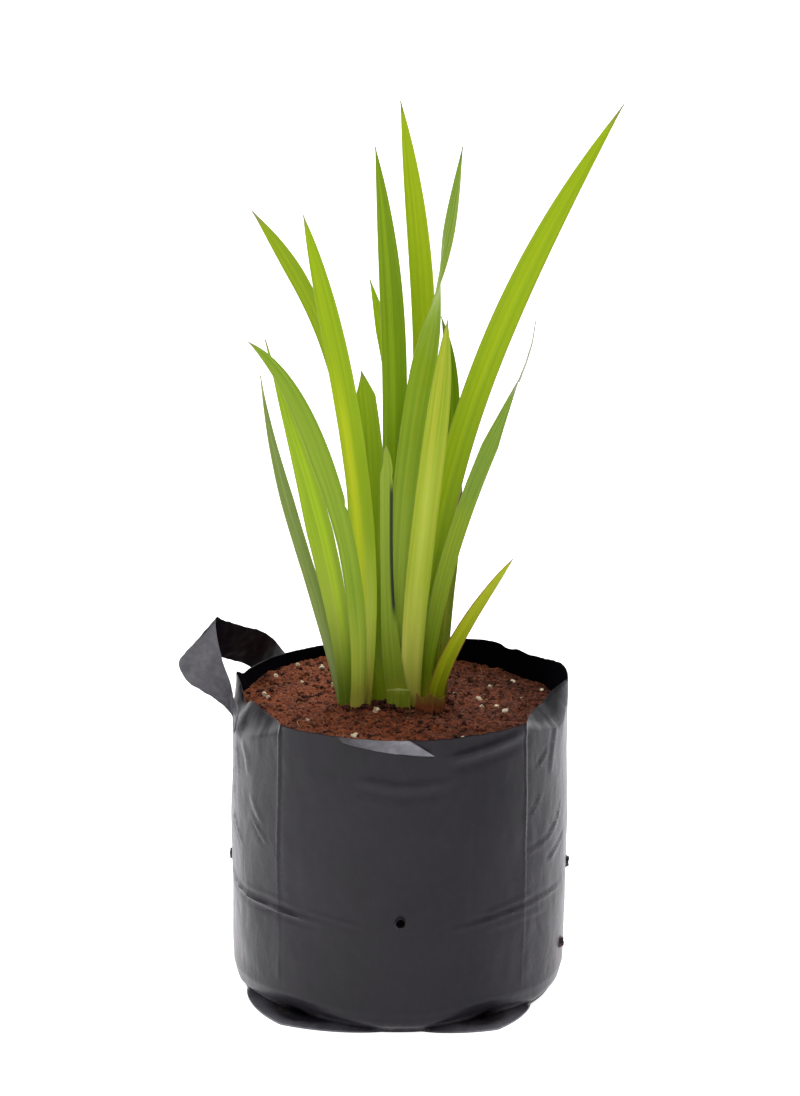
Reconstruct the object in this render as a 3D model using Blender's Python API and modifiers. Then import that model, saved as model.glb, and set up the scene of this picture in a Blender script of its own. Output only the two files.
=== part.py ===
"""A young sweet flag (Acorus calamus) standing in a filled nursery grow bag of thin black film.

The origin is the middle of the bag's foot, on the surface that it stands on. +Z is up and -Y is
the front. Sizes below are in millimetres; the meshes are in metres.
"""

import math
from dataclasses import dataclass

import bmesh
import bpy
from mathutils import Vector, noise

MM = 0.001

# Bag
BAG_RADIUS = 82.6
BELLY = 1.0
FILM = 0.9
RIM_HEIGHT = 150.5
RIM_WAVES = ((55.0, 30.0, 3.5), (10.0, 34.0, 6.5), (172.0, 10.0, 4.5), (-173.0, 9.0, -5.0))
SWAY = 1.3
CREASE_ANGLES = (-135.0, -45.0, 45.0, 135.0)
CREASE_HEIGHT = 0.8
CREASE_SPREAD = 5.0
PINCH_HEIGHT = 58.0
PINCH_SPREAD = 6.0
PINCH_DEPTH = 0.8
LIP_ANGLE = -96.0
LIP_SPREAD = 17.0
LIP_DROP = 6.0
LIP_STAND_OFF = 1.6
DRAIN_HOLE_RADIUS = 2.5
DRAIN_HOLES = (
    (-90.0, 59.0),
    (-3.0, 61.0),
    (90.0, 59.0),
    (177.0, 62.0),
    (-14.0, 24.0),
    (166.0, 24.0),
)
PUNCH_LENGTH = 12.0
BAG_COLUMNS = 72
FLOOR_RADII = (36.0, 66.0)
OUTER_ROWS = (30.0, 50.0, PINCH_HEIGHT, 66.0, 90.0, 113.0)
INNER_ROWS = (30.0, PINCH_HEIGHT, 90.0)
PLEAT_ROWS = (133.0, 138.0)

# Foot: angle and half width of each folded corner, then radius and height of the rows that round
# the foot, from the surface up: between the corners and on them, outside and inside
FOOT_CORNERS = ((-130.0, 34.0), (-57.0, 24.0), (57.0, 24.0), (130.0, 34.0))
CORNER_POWER = 0.8
FOOT_PLAIN = ((78.0, 0.0), (78.0, 1.2), (78.6, 2.0), (80.5, 4.5))
FOOT_FOLDED = ((89.5, 0.0), (89.5, 1.2), (74.0, 1.8), (79.8, 7.0))
INNER_PLAIN = ((76.5, 1.3), (80.0, 5.5))
INNER_FOLDED = ((72.5, 2.5), (79.0, 8.0))
FOOT_TOP = 17.0
FOOT_TOP_ROW = (11.0, 14.0)
INNER_TOP_ROW = (12.0, 15.0)

# Soil
SOIL_AT_WALL = 142.5
SOIL_TILT = 2.5
SOIL_DIP = 1.5
SOIL_DIP_ANGLE = 38.0
SOIL_DIP_SPREAD = 75.0
SOIL_HOLLOW = 2.4
SOIL_HOLLOW_AT = (13.0, -14.0)
SOIL_HOLLOW_SPREAD = 27.0
SOIL_RINGS = (1.0, 0.92, 0.82, 0.71, 0.6, 0.48, 0.37, 0.27, 0.17, 0.08, 0.0)
SOIL_EDGE_GAP = 0.6
SOIL_CRUMB = 1.3
CRUMB_SPACING = 11.0
SOIL_GAP = 0.35

# Leaves
BLADE_RIB = 1.7
BLADE_EDGE = 0.66
BLADE_CUP = 0.10
BLADE_ROWS = 14
BLADE_TIP_WIDTH = 0.7
BLADE_COLUMNS = 4
SLOT_ROWS = 2
SLOT_COLUMNS = 2
SLOT_THICKNESS = 2.9
SLOT_SIDE_GAP = 0.6
SLOT_TOP = 156.0
LEAF_FOOT = 134.0

# Rhizome and roots
RHIZOME_RADIUS = 5.6
RING_DEPTH = 0.5
RING_COUNT = 17
RHIZOME_ENDS = ((-34.0, -11.0), (28.0, 2.0))
ROOT_FIRST = (-30.0, -10.0)
ROOT_LAST = (24.0, 2.0)
ROOT_TOP = 131.0
ROOT_COUNT = 8
ROOT_STEPS = 5
ROOT_RADIUS = 1.3
ROOT_END_RADIUS = 0.6
ROOT_LENGTH = 62.0
ROOT_SPREAD = 30.0
ROOT_DRIFT = 14.0

# Colours, linear
FILM_BLACK = (0.030, 0.029, 0.033, 1.0)
SOIL_BROWN = (0.115, 0.030, 0.015, 1.0)
LEAF_LIME = (0.300, 0.420, 0.012, 1.0)
LEAF_MID = (0.190, 0.330, 0.014, 1.0)
LEAF_DEEP = (0.100, 0.210, 0.016, 1.0)
LEAF_OLIVE = (0.090, 0.110, 0.015, 1.0)
SHEATH_BROWN = (0.200, 0.090, 0.030, 1.0)
RHIZOME_TAN = (0.350, 0.220, 0.110, 1.0)


@dataclass(frozen=True)
class Blade:
    """One leaf: its centre line as foot, two handles and tip, and how its width and facing change.

    turn is how far the blade faces round from the front, and twist is what it turns on from
    twist_from to twist_to of its length, both in degrees.
    """

    name: str
    colour: tuple
    spine: tuple
    foot_width: float
    width: float
    taper_from: float
    taper_power: float
    turn: float = 0.0
    twist: float = 0.0
    twist_from: float = 0.5
    twist_to: float = 0.8
    cup: float = BLADE_CUP
    rows: int = BLADE_ROWS


BLADES = (
    Blade("leaf_left_outer", LEAF_DEEP,
          ((-26, -6.5, LEAF_FOOT), (-36, -4, 196), (-60, 2, 241), (-68, 7, 307)),
          6.2, 7.4, 0.66, 1.2, turn=35),
    Blade("leaf_left_low", LEAF_MID,
          ((-26, -9, LEAF_FOOT), (-28, -14, 221), (-51, -22, 276), (-64, -31, 333)),
          7.1, 12.0, 0.45, 1.0, turn=-12),
    Blade("leaf_left_front", LEAF_DEEP,
          ((-23, -14, LEAF_FOOT), (-12, -23, 204), (-37, -39, 308), (-71, -55, 337)),
          6.8, 8.9, 0.52, 3.5, turn=15),
    Blade("leaf_left_arching", LEAF_MID,
          ((-17, -9, LEAF_FOOT), (-26, -1, 244), (-8, 13, 306), (-72, 27, 384)),
          7.6, 8.7, 0.86, 1.9, turn=-14),
    Blade("leaf_left_tall", LEAF_LIME,
          ((-21, -11.5, LEAF_FOOT), (-9, -14, 219), (-26, -17, 314), (-46, -21, 391)),
          9.1, 11.6, 0.52, 3.5, turn=12),
    Blade("leaf_left_short", LEAF_MID,
          ((-10, -6.5, LEAF_FOOT), (-19, -2, 208), (-9, 5, 257), (-19, 13, 308)),
          7.0, 8.8, 0.82, 1.0, turn=-15),
    Blade("leaf_middle_dark", LEAF_DEEP,
          ((-2, 1, LEAF_FOOT), (-7, -1, 251), (4, -4, 308), (-12, -7, 421)),
          5.4, 12.5, 0.61, 2.9, turn=18),
    Blade("leaf_middle_small", LEAF_MID,
          ((-2, 6, LEAF_FOOT), (-1, 11, 211), (6, 20, 278), (-15, 29, 350)),
          8.0, 6.8, 0.88, 1.3),
    Blade("leaf_middle_tallest", LEAF_LIME,
          ((1, 3.5, LEAF_FOOT), (10, 10, 252), (21, 21, 309), (0, 33, 437)),
          7.4, 12.0, 0.64, 3.5, turn=-16),
    Blade("leaf_middle_twisted", LEAF_MID,
          ((1, -1.5, LEAF_FOOT), (-7, -7, 262), (15, -16, 325), (29, -25, 424)),
          5.8, 12.2, 0.57, 2.4, twist=150, twist_from=0.53, twist_to=0.95, rows=20),
    Blade("leaf_middle_front", LEAF_LIME,
          ((5, -4, LEAF_FOOT), (4, -12, 205), (18, -25, 280), (22, -39, 344)),
          9.6, 12.0, 0.51, 3.5, turn=8),
    Blade("leaf_middle_back", LEAF_DEEP,
          ((10, 6, LEAF_FOOT), (5, 13, 203), (37, 25, 271), (20, 37, 330)),
          8.0, 9.7, 0.48, 3.5, turn=-10),
    Blade("leaf_middle_torn", LEAF_DEEP,
          ((0, -6.5, LEAF_FOOT), (-10, -12, 210), (-6, -19, 240), (-7, -26, 280)),
          10.0, 6.4, 0.81, 3.5, turn=15),
    Blade("leaf_right_long", LEAF_LIME,
          ((10, 1, LEAF_FOOT), (9, -2, 242), (40, -7, 339), (105, -13, 442)),
          10.1, 13.2, 0.56, 2.6, turn=-12),
    Blade("leaf_right_hair_tip", LEAF_MID,
          ((9, -1.5, LEAF_FOOT), (16, -7, 211), (33, -16, 255), (57, -25, 314)),
          7.1, 8.4, 0.79, 1.0, turn=12),
    Blade("leaf_right_old", LEAF_OLIVE,
          ((19, 3.5, LEAF_FOOT), (19, 7, 181), (26, 13, 219), (30, 19, 253)),
          8.6, 7.7, 0.31, 3.5, turn=10),
    Blade("leaf_right_small", LEAF_MID,
          ((17, -4, LEAF_FOOT), (12, -9, 163), (45, -18, 209), (54, -27, 224)),
          8.0, 8.3, 0.0, 2.7, turn=10),
    Blade("cut_leaf_stub", LEAF_MID,
          ((-1, -9, LEAF_FOOT), (-1, -9, 145), (-1, -9.3, 149), (-1, -9.5, 153)),
          11.5, 11.5, 0.9, 6.0, rows=4),
    Blade("old_sheath", SHEATH_BROWN,
          ((14, -9, LEAF_FOOT), (14, -9.5, 141), (14.5, -9.8, 148), (15, -10.5, 154)),
          15.5, 15.0, 0.6, 3.0, cup=-0.25, rows=4),
)


def smooth(value):
    """Rises from 0 to 1 with flat ends."""
    value = min(max(value, 0.0), 1.0)
    return value * value * (3 - 2 * value)


def mix(low, high, share):
    return low + (high - low) * share


def angle_between(first, second):
    """The unsigned difference of two angles in degrees."""
    return abs((first - second + 180) % 360 - 180)


def peak(angle, centre, spread):
    """1 at the centre angle, falling straight to 0 at spread degrees from it."""
    return max(0.0, 1 - angle_between(angle, centre) / spread)


def hill(angle, centre, spread):
    """As peak, with a rounded top and foot."""
    return smooth(peak(angle, centre, spread))


@dataclass(frozen=True)
class Pleat:
    """A V that the rim folds inwards, from its apex up to the rim."""

    angle: float
    half_angle: float
    apex: float
    depth: float


PLEATS = (
    Pleat(angle=-21.5, half_angle=21.0, apex=140.0, depth=9.5),
    Pleat(angle=-160.0, half_angle=27.0, apex=133.0, depth=7.5),
)
PLEAT_SIDE = 4.0
PLEAT_FULLNESS = 2.5


def rim_height(angle):
    """The film's top edge, high at the right and at the stub on the left, torn lower beside it."""
    return RIM_HEIGHT + sum(rise * hill(angle, centre, spread) for centre, spread, rise in RIM_WAVES)


def body_radius(angle, height):
    """The outer radius of the filled film, without its lip and foot."""
    radius = BAG_RADIUS + BELLY * math.sin(math.pi * min(height, RIM_HEIGHT) / RIM_HEIGHT)
    for crease in CREASE_ANGLES:
        radius += CREASE_HEIGHT * peak(angle, crease, CREASE_SPREAD)
    radius -= PINCH_DEPTH * max(0.0, 1 - abs(height - PINCH_HEIGHT) / PINCH_SPREAD)
    for pleat in PLEATS:
        radius -= pleat_depth(pleat, angle, height)
    return radius


def pleat_depth(pleat, angle, height):
    """How far a pleat leans in at a point: nothing below the V, the most at the rim."""
    off = angle_between(angle, pleat.angle) / pleat.half_angle
    if off >= 1:
        return 0.0
    top = rim_height(angle)
    fold = mix(pleat.apex, top - PLEAT_SIDE, off)
    lean = min(max((height - fold) / (top - fold), 0.0), 1.0)
    return pleat.depth * lean * (1 - off**PLEAT_FULLNESS)


def corner(angle):
    """1 on a folded corner of the foot, 0 between the corners."""
    return max(peak(angle, centre, spread) for centre, spread in FOOT_CORNERS) ** CORNER_POWER


def blended_rows(angle, plain, folded, top_row, inset):
    """Rows from the surface up to the lower body, blended from plain to folded, moved in by inset."""
    share = corner(angle)
    rows = [
        (mix(flat[0], fold[0], share) - inset, mix(flat[1], fold[1], share))
        for flat, fold in zip(plain, folded)
    ]
    rows.append((body_radius(angle, FOOT_TOP) - inset, mix(*top_row, share)))
    return rows


def foot_rows(angle):
    """The rows that round the foot outside: flap, recess above it and lower body."""
    return blended_rows(angle, FOOT_PLAIN, FOOT_FOLDED, FOOT_TOP_ROW, 0.0)


def inner_foot_rows(angle, inset):
    """The same rows from inside, inset from the outer film, from the floor up to the wall."""
    floor, *rest = blended_rows(angle, INNER_PLAIN, INNER_FOLDED, INNER_TOP_ROW, inset)
    return [(floor[0], floor[1] + inset), *rest]


def lip(angle):
    """1 along the stretch of rim that is folded outwards."""
    return smooth(peak(angle, LIP_ANGLE, LIP_SPREAD) * 4)


def bag_profile(angle):
    """Radius and height of every row of the film, from under the floor, up outside and down inside."""
    top = rim_height(angle)
    out = LIP_STAND_OFF * lip(angle)
    rows = [(radius, 0.0) for radius in (0.0, *FLOOR_RADII)]
    rows += foot_rows(angle)
    for height in (*OUTER_ROWS, *PLEAT_ROWS, min(SOIL_AT_WALL, top - LIP_DROP - 1.0)):
        rows.append((body_radius(angle, height), height))
    rows.append((body_radius(angle, top - LIP_DROP) + out, top - LIP_DROP))
    rows.append((body_radius(angle, top) + out, top - 0.5))
    rows.append((body_radius(angle, top) - FILM / 2 + out / 2, top))
    rows.append((body_radius(angle, top) - FILM, top - 0.4))
    for height in reversed((*INNER_ROWS, *PLEAT_ROWS, SOIL_AT_WALL)):
        rows.append((body_radius(angle, height) - FILM, height))
    rows += reversed(inner_foot_rows(angle, FILM))
    rows += [(radius, FILM) for radius in reversed((0.0, *FLOOR_RADII))]
    return rows


def soil_top(angle, radius):
    """Height of the soil's surface: highest at the left, lowest at the right, hollow before the plant."""
    place = Vector((math.cos(math.radians(angle)) * radius, math.sin(math.radians(angle)) * radius, 7.0))
    share = min(radius / BAG_RADIUS, 1.0)
    height = SOIL_AT_WALL - SOIL_TILT * place.x / BAG_RADIUS
    height -= SOIL_DIP * smooth(share) * hill(angle, SOIL_DIP_ANGLE, SOIL_DIP_SPREAD)
    away = (place.to_2d() - Vector(SOIL_HOLLOW_AT)).length
    height -= SOIL_HOLLOW * smooth(1 - away / SOIL_HOLLOW_SPREAD)
    return height + SOIL_CRUMB * noise.noise(place / CRUMB_SPACING)


def soil_profile(angle):
    """Radius and height of every row of the soil, from under its floor up to the top's middle."""
    inset = FILM + SOIL_GAP
    rows = [(radius, inset) for radius in (0.0, *FLOOR_RADII)]
    rows += inner_foot_rows(angle, inset)
    for height in (*INNER_ROWS, *PLEAT_ROWS):
        rows.append((body_radius(angle, height) - inset, height))
    edge = body_radius(angle, soil_top(angle, BAG_RADIUS)) - inset - SOIL_EDGE_GAP
    for share in SOIL_RINGS:
        radius = edge * share
        rows.append((radius, soil_top(angle, radius)))
    return rows


def new_material(name, colour, roughness):
    material = bpy.data.materials.new(name)
    material.use_nodes = True
    shader = material.node_tree.nodes["Principled BSDF"]
    shader.inputs["Base Color"].default_value = colour
    shader.inputs["Roughness"].default_value = roughness
    shader.inputs["Metallic"].default_value = 0.0
    return material


def new_object(name, mesh, collection):
    made = bpy.data.objects.new(name, mesh)
    collection.objects.link(made)
    return made


def mesh_from(name, shape):
    mesh = bpy.data.meshes.new(name)
    shape.to_mesh(mesh)
    shape.free()
    mesh.shade_smooth()
    mesh.set_sharp_from_angle(angle=math.radians(40))
    return mesh


def turned_shell(name, profile, columns):
    """A sphere whose rings are moved, one after another, to the rows of a profile."""
    rings = len(profile(0.0)) - 1
    shape = bmesh.new()
    bmesh.ops.create_uvsphere(shape, u_segments=columns, v_segments=rings, radius=1.0)
    rows_at = {}
    for vertex in shape.verts:
        column = round(math.atan2(vertex.co.y, vertex.co.x) / math.tau * columns) % columns
        angle = (column * 360 / columns + 180) % 360 - 180
        if column not in rows_at:
            rows_at[column] = profile(angle)
        ring = rings - round(math.acos(max(-1.0, min(1.0, vertex.co.z))) / math.pi * rings)
        radius, height = rows_at[column][ring]
        turn = math.radians(angle)
        sway = -SWAY * (1 - height / RIM_HEIGHT)
        vertex.co = Vector((math.cos(turn) * radius + sway, math.sin(turn) * radius, height)) * MM
    bmesh.ops.triangulate(shape, faces=shape.faces[:])
    return mesh_from(name, shape)


def tube(name, points, radii, collection, sides=6):
    """A tube along a curve through points, with a radius at each, turned into a mesh."""
    curve = bpy.data.curves.new(name + "_path", "CURVE")
    curve.dimensions = "3D"
    curve.bevel_depth = MM
    curve.bevel_resolution = sides // 2 - 2
    curve.use_fill_caps = True
    spline = curve.splines.new("POLY")
    spline.points.add(len(points) - 1)
    for point, place, radius in zip(spline.points, points, radii):
        point.co = (*(Vector(place) * MM), 1.0)
        point.radius = radius
    path = new_object(name + "_path", curve, collection)
    bpy.context.view_layer.update()
    mesh = bpy.data.meshes.new_from_object(path.evaluated_get(bpy.context.evaluated_depsgraph_get()))
    bpy.data.objects.remove(path)
    shape = bmesh.new()
    shape.from_mesh(mesh)
    bmesh.ops.remove_doubles(shape, verts=shape.verts, dist=0.00001)
    bmesh.ops.triangulate(shape, faces=shape.faces[:])
    bpy.data.meshes.remove(mesh)
    return new_object(name, mesh_from(name, shape), collection)


def spine_point(blade, share):
    foot, low, high, tip = (Vector(point) for point in blade.spine)
    rest = 1 - share
    return rest**3 * foot + 3 * rest**2 * share * low + 3 * rest * share**2 * high + share**3 * tip


def spine_direction(blade, share):
    foot, low, high, tip = (Vector(point) for point in blade.spine)
    rest = 1 - share
    return (rest**2 * (low - foot) + 2 * rest * share * (high - low) + share**2 * (tip - high)).normalized()


def blade_width(blade, share):
    grown = mix(blade.foot_width, blade.width, smooth(share / 0.4))
    past = max(0.0, (share - blade.taper_from) / (1 - blade.taper_from))
    return max(BLADE_TIP_WIDTH, grown * (1 - past**blade.taper_power))


def blade_point(blade, share, across):
    """A point of the blade: share runs from foot to tip, across from -1 to 1 over its width."""
    turned = blade.turn * smooth(share / 0.5)
    turned += blade.twist * smooth((share - blade.twist_from) / (blade.twist_to - blade.twist_from))
    facing = Vector((math.sin(math.radians(turned)), -math.cos(math.radians(turned)), 0.0))
    along = spine_direction(blade, share)
    side = facing.cross(along).normalized()
    front = along.cross(side)
    half = blade_width(blade, share) / 2
    bent = blade.cup * half * across * across * smooth(share / 0.3)
    return spine_point(blade, share) + side * half * across + front * bent


def blade_grid(rows, columns):
    """A flat grid and, for each of its vertices, how far along and across the blade it lies."""
    shape = bmesh.new()
    bmesh.ops.create_grid(shape, x_segments=columns, y_segments=rows, size=1.0)
    return shape, {vertex: ((vertex.co.y + 1) / 2, vertex.co.x) for vertex in shape.verts}


def build_blade(blade, collection):
    """A leaf blade: a grid bent along its centre line and thickened most along its midrib."""
    shape, places = blade_grid(blade.rows, BLADE_COLUMNS)
    for vertex, (share, across) in places.items():
        vertex.co = blade_point(blade, share, across) * MM
    ribs = [(1 - across**2) * (1 - smooth((share - 0.8) / 0.2)) for share, across in places.values()]
    bmesh.ops.triangulate(shape, faces=shape.faces[:])
    leaf = new_object(blade.name, mesh_from(blade.name, shape), collection)
    group = leaf.vertex_groups.new(name="midrib")
    for index, rib in enumerate(ribs):
        group.add([index], rib, "REPLACE")
    body = leaf.modifiers.new("thickness", "SOLIDIFY")
    body.thickness = BLADE_RIB * MM
    body.offset = 0.0
    body.vertex_group = group.name
    body.thickness_vertex_group = BLADE_EDGE / BLADE_RIB
    leaf.data.materials.append(new_material(blade.name, blade.colour, 0.45))
    return leaf


def build_slot(blade, collection):
    """The plain slot in the soil that a leaf's foot stands in."""
    shape, places = blade_grid(SLOT_ROWS, SLOT_COLUMNS)
    top = 0.0
    while spine_point(blade, top).z < SLOT_TOP and top < 1.0:
        top += 0.01
    for vertex, (share, across) in places.items():
        reach = 1 + 2 * SLOT_SIDE_GAP / blade_width(blade, share * top)
        place = blade_point(blade, share * top, across * reach)
        if share == 0:
            place.z -= SOIL_GAP * 2
        vertex.co = place * MM
    bmesh.ops.triangulate(shape, faces=shape.faces[:])
    slot = new_object(blade.name + "_slot", mesh_from(blade.name + "_slot", shape), collection)
    body = slot.modifiers.new("thickness", "SOLIDIFY")
    body.thickness = SLOT_THICKNESS * MM
    body.offset = 0.0
    return slot


def hide_as_cutter(made):
    made.hide_render = True
    made.display_type = "WIRE"


def cut_from(target, cutters, name, operation="DIFFERENCE"):
    cut = target.modifiers.new(name, "BOOLEAN")
    cut.operation = operation
    cut.operand_type = "COLLECTION"
    cut.collection = cutters


def build_stock(name, collection, grown):
    """The ringed rootstock as a tube."""
    points = []
    radii = []
    height = LEAF_FOOT - SOIL_GAP - RHIZOME_RADIUS - RING_DEPTH
    left, right = RHIZOME_ENDS
    for ring in range(RING_COUNT):
        share = ring / (RING_COUNT - 1)
        ringed = RING_DEPTH * (1 if ring % 2 == 0 else -1)
        rounded = 0.55 + 0.45 * smooth(4 * min(share, 1 - share))
        points.append([mix(left[0], right[0], share), mix(left[1], right[1], smooth(share)), height])
        radii.append((RHIZOME_RADIUS + ringed) * rounded + grown)
    points[0][0] -= grown
    points[-1][0] += grown
    return tube(name, points, radii, collection, sides=8)


def build_root(number, name, collection, grown):
    """One root, running down and outwards, to the front or to the back by turns."""
    share = (number + 0.5) / ROOT_COUNT
    side = 1 if number % 2 else -1
    along = mix(ROOT_FIRST[0], ROOT_LAST[0], share)
    start = Vector((along, mix(ROOT_FIRST[1], ROOT_LAST[1], smooth(share)), ROOT_TOP))
    length = ROOT_LENGTH * (0.75 + 0.25 * math.sin(number * 2.4))
    points = []
    radii = []
    for step in range(ROOT_STEPS + 1):
        reach = step / ROOT_STEPS
        spread = side * ROOT_SPREAD * math.sin(reach * 1.4) * (0.6 + 0.4 * math.cos(number * 1.7))
        drift = ROOT_DRIFT * reach * math.sin(number * 1.3)
        points.append(start + Vector((drift, spread, -length * reach)))
        radii.append(mix(ROOT_RADIUS, ROOT_END_RADIUS, reach) + grown)
    points[-1].z -= grown
    return tube(name, points, radii, collection, sides=6)


def rhizome_pieces(collection, suffix, grown):
    """The rootstock and its roots, each grown by that much so that they can also cut."""
    stock = build_stock("rhizome" + suffix, collection, grown)
    roots = []
    for number in range(ROOT_COUNT):
        roots.append(build_root(number, f"root_{number + 1}{suffix}", collection, grown))
    return stock, roots


def build_rhizome(part_collection, union_collection):
    """The ringed rootstock with its roots joined to it."""
    stock, roots = rhizome_pieces(union_collection, "", 0.0)
    for root in roots:
        hide_as_cutter(root)
    union_collection.objects.unlink(stock)
    part_collection.objects.link(stock)
    cut_from(stock, union_collection, "roots", "UNION")
    stock.data.materials.append(new_material("rhizome", RHIZOME_TAN, 0.7))
    return stock


def build_soil(part_collection, cutter_collection):
    """The bag's fill, with a slot for each leaf and the space that the rhizome takes up."""
    shell = turned_shell("potting_soil", soil_profile, BAG_COLUMNS)
    soil = new_object("potting_soil", shell, part_collection)
    for blade in BLADES:
        hide_as_cutter(build_slot(blade, cutter_collection))
    stock, roots = rhizome_pieces(cutter_collection, "_space", SOIL_GAP)
    for piece in (stock, *roots):
        hide_as_cutter(piece)
    cut_from(soil, cutter_collection, "plant_space")
    soil.data.materials.append(new_material("potting_soil", SOIL_BROWN, 0.95))
    return soil


def build_bag(part_collection, cutter_collection):
    """The film, with its drain holes punched through."""
    bag = new_object("grow_bag", turned_shell("grow_bag", bag_profile, BAG_COLUMNS), part_collection)
    for number, (angle, height) in enumerate(DRAIN_HOLES, start=1):
        shape = bmesh.new()
        wide = DRAIN_HOLE_RADIUS * MM
        long = PUNCH_LENGTH * MM
        bmesh.ops.create_cone(shape, cap_ends=True, segments=12, radius1=wide, radius2=wide, depth=long)
        name = f"drain_hole_{number}"
        punch = new_object(name, mesh_from(name, shape), cutter_collection)
        turn = math.radians(angle)
        punch.location = (math.cos(turn) * BAG_RADIUS * MM, math.sin(turn) * BAG_RADIUS * MM, height * MM)
        punch.rotation_euler = (0.0, math.radians(90), turn)
        hide_as_cutter(punch)
    cut_from(bag, cutter_collection, "drain_holes")
    bag.data.materials.append(new_material("grow_bag", FILM_BLACK, 0.4))
    return bag


# Where the torn strip's lower and upper edges pass, from its front end round the fold to its back end
STRIP_STATIONS = (
    ((-81.2, -25.5, 135.0), (-79.2, -21.5, 146.5)),
    ((-83.0, -17.0, 142.0), (-82.9, -12.0, 150.0)),
    ((-92.5, -17.5, 151.4), (-85.0, -11.5, 157.0)),
    ((-104.5, -15.0, 158.5), (-88.5, -8.0, 169.0)),
    ((-109.0, -4.0, 166.0), (-91.5, 3.5, 184.5)),
    ((-99.0, 3.0, 169.0), (-86.0, 9.0, 182.0)),
    ((-88.0, 17.0, 160.5), (-78.0, 22.0, 175.5)),
    ((-78.5, 33.0, 152.5), (-67.0, 41.5, 165.5)),
    ((-68.0, 54.0, 138.5), (-59.0, 64.0, 148.5)),
)
STRIP_ROWS = 28
STRIP_COLUMNS = 2


def through(points, share):
    """A smooth curve through all the points, by how far along them it is."""
    place = share * (len(points) - 1)
    index = min(int(place), len(points) - 2)
    near = place - index
    last_index = len(points) - 1
    around = [Vector(points[min(max(index + step, 0), last_index)]) for step in (-1, 0, 1, 2)]
    before, start, end, after = around
    first = (end - before) / 2
    last = (after - start) / 2
    return (
        (2 * near**3 - 3 * near**2 + 1) * start
        + (near**3 - 2 * near**2 + near) * first
        + (3 * near**2 - 2 * near**3) * end
        + (near**3 - near**2) * last
    )


def build_strip(collection):
    """The strip of film torn off the rim, folded back on itself as a standing loop."""
    shape, places = blade_grid(STRIP_ROWS, STRIP_COLUMNS)
    lower = [station[0] for station in STRIP_STATIONS]
    upper = [station[1] for station in STRIP_STATIONS]
    for vertex, (share, across) in places.items():
        vertex.co = through(lower, share).lerp(through(upper, share), (across + 1) / 2) * MM
    bmesh.ops.triangulate(shape, faces=shape.faces[:])
    strip = new_object("torn_rim_strip", mesh_from("torn_rim_strip", shape), collection)
    body = strip.modifiers.new("thickness", "SOLIDIFY")
    body.thickness = FILM * MM
    body.offset = 0.0
    strip.data.materials.append(new_material("torn_rim_strip", FILM_BLACK, 0.4))
    return strip


def new_collection(name):
    collection = bpy.data.collections.new(name)
    bpy.context.scene.collection.children.link(collection)
    return collection


def main():
    for old in list(bpy.data.objects):
        bpy.data.objects.remove(old)
    plant = new_collection("potted_sweet_flag")
    build_bag(plant, new_collection("drain_hole_cutters"))
    build_strip(plant)
    build_soil(plant, new_collection("soil_cutters"))
    build_rhizome(plant, new_collection("root_unions"))
    for blade in BLADES:
        build_blade(blade, plant)


main()
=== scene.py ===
"""A potted sweet flag in a soil-filled grow bag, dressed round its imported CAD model.

Lengths in the classes below are in millimetres, angles in degrees; meshes are in metres. The frame
is the CAD's: the origin is the middle of the bag's foot, +Z is up and -Y is the front.
"""

import logging
import math
from dataclasses import dataclass, field
from enum import Enum
from typing import Callable, Sequence

import bpy
import numpy as np
from mathutils import Euler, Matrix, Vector, noise


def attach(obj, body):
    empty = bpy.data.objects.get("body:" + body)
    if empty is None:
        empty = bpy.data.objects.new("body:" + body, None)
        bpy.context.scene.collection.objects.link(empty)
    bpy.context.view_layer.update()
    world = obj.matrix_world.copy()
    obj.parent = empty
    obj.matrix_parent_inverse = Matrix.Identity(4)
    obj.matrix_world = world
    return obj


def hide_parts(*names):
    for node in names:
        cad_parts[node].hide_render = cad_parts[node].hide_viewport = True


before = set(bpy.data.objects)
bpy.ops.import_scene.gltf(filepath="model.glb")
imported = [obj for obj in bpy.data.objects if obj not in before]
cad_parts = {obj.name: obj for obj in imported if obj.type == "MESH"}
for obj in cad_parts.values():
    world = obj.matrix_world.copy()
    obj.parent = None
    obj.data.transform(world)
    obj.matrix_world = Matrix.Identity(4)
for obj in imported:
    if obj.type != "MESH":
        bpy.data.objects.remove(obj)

MM = 0.001
BODY = "root"
LOG = logging.getLogger("potted_sweet_flag")

Point = tuple[float, float, float]
Colour = tuple[float, float, float, float]


class Slot(Enum):
    """The record's material slots."""

    LEAF = "leaf"
    OLD_LEAF = "leaf_old"
    SHEATH = "sheath"
    RHIZOME = "rhizome"
    SOIL = "soil"
    FILM = "film"


def mix(low: float, high: float, share: float) -> float:
    """Returns the value that lies share of the way from low to high."""
    return low + (high - low) * share


def smooth(value: float) -> float:
    """Returns value held between 0 and 1, with flat ends."""
    held = min(max(value, 0.0), 1.0)
    return held * held * (3 - 2 * held)


def angle_between(first: float, second: float) -> float:
    """Returns the unsigned difference of two angles."""
    return abs((first - second + 180) % 360 - 180)


def peak(angle: float, centre: float, spread: float) -> float:
    """Returns 1 at the centre angle, falling straight to 0 at spread degrees from it."""
    return max(0.0, 1 - angle_between(angle, centre) / spread)


def hill(angle: float, centre: float, spread: float) -> float:
    """Returns the same as peak, with a rounded top and foot."""
    return smooth(peak(angle, centre, spread))


def paint(code: str) -> Colour:
    """Turns a display colour such as #94b414 into the linear colour that a shader takes.

    Args:
        code: A hash sign and six hexadecimal digits.

    Returns:
        Red, green, blue and an alpha of 1.
    """
    shares = [int(code[place : place + 2], 16) / 255 for place in (1, 3, 5)]
    linear = [share / 12.92 if share <= 0.04045 else ((share + 0.055) / 1.055) ** 2.4 for share in shares]
    return (*linear, 1.0)


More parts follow.
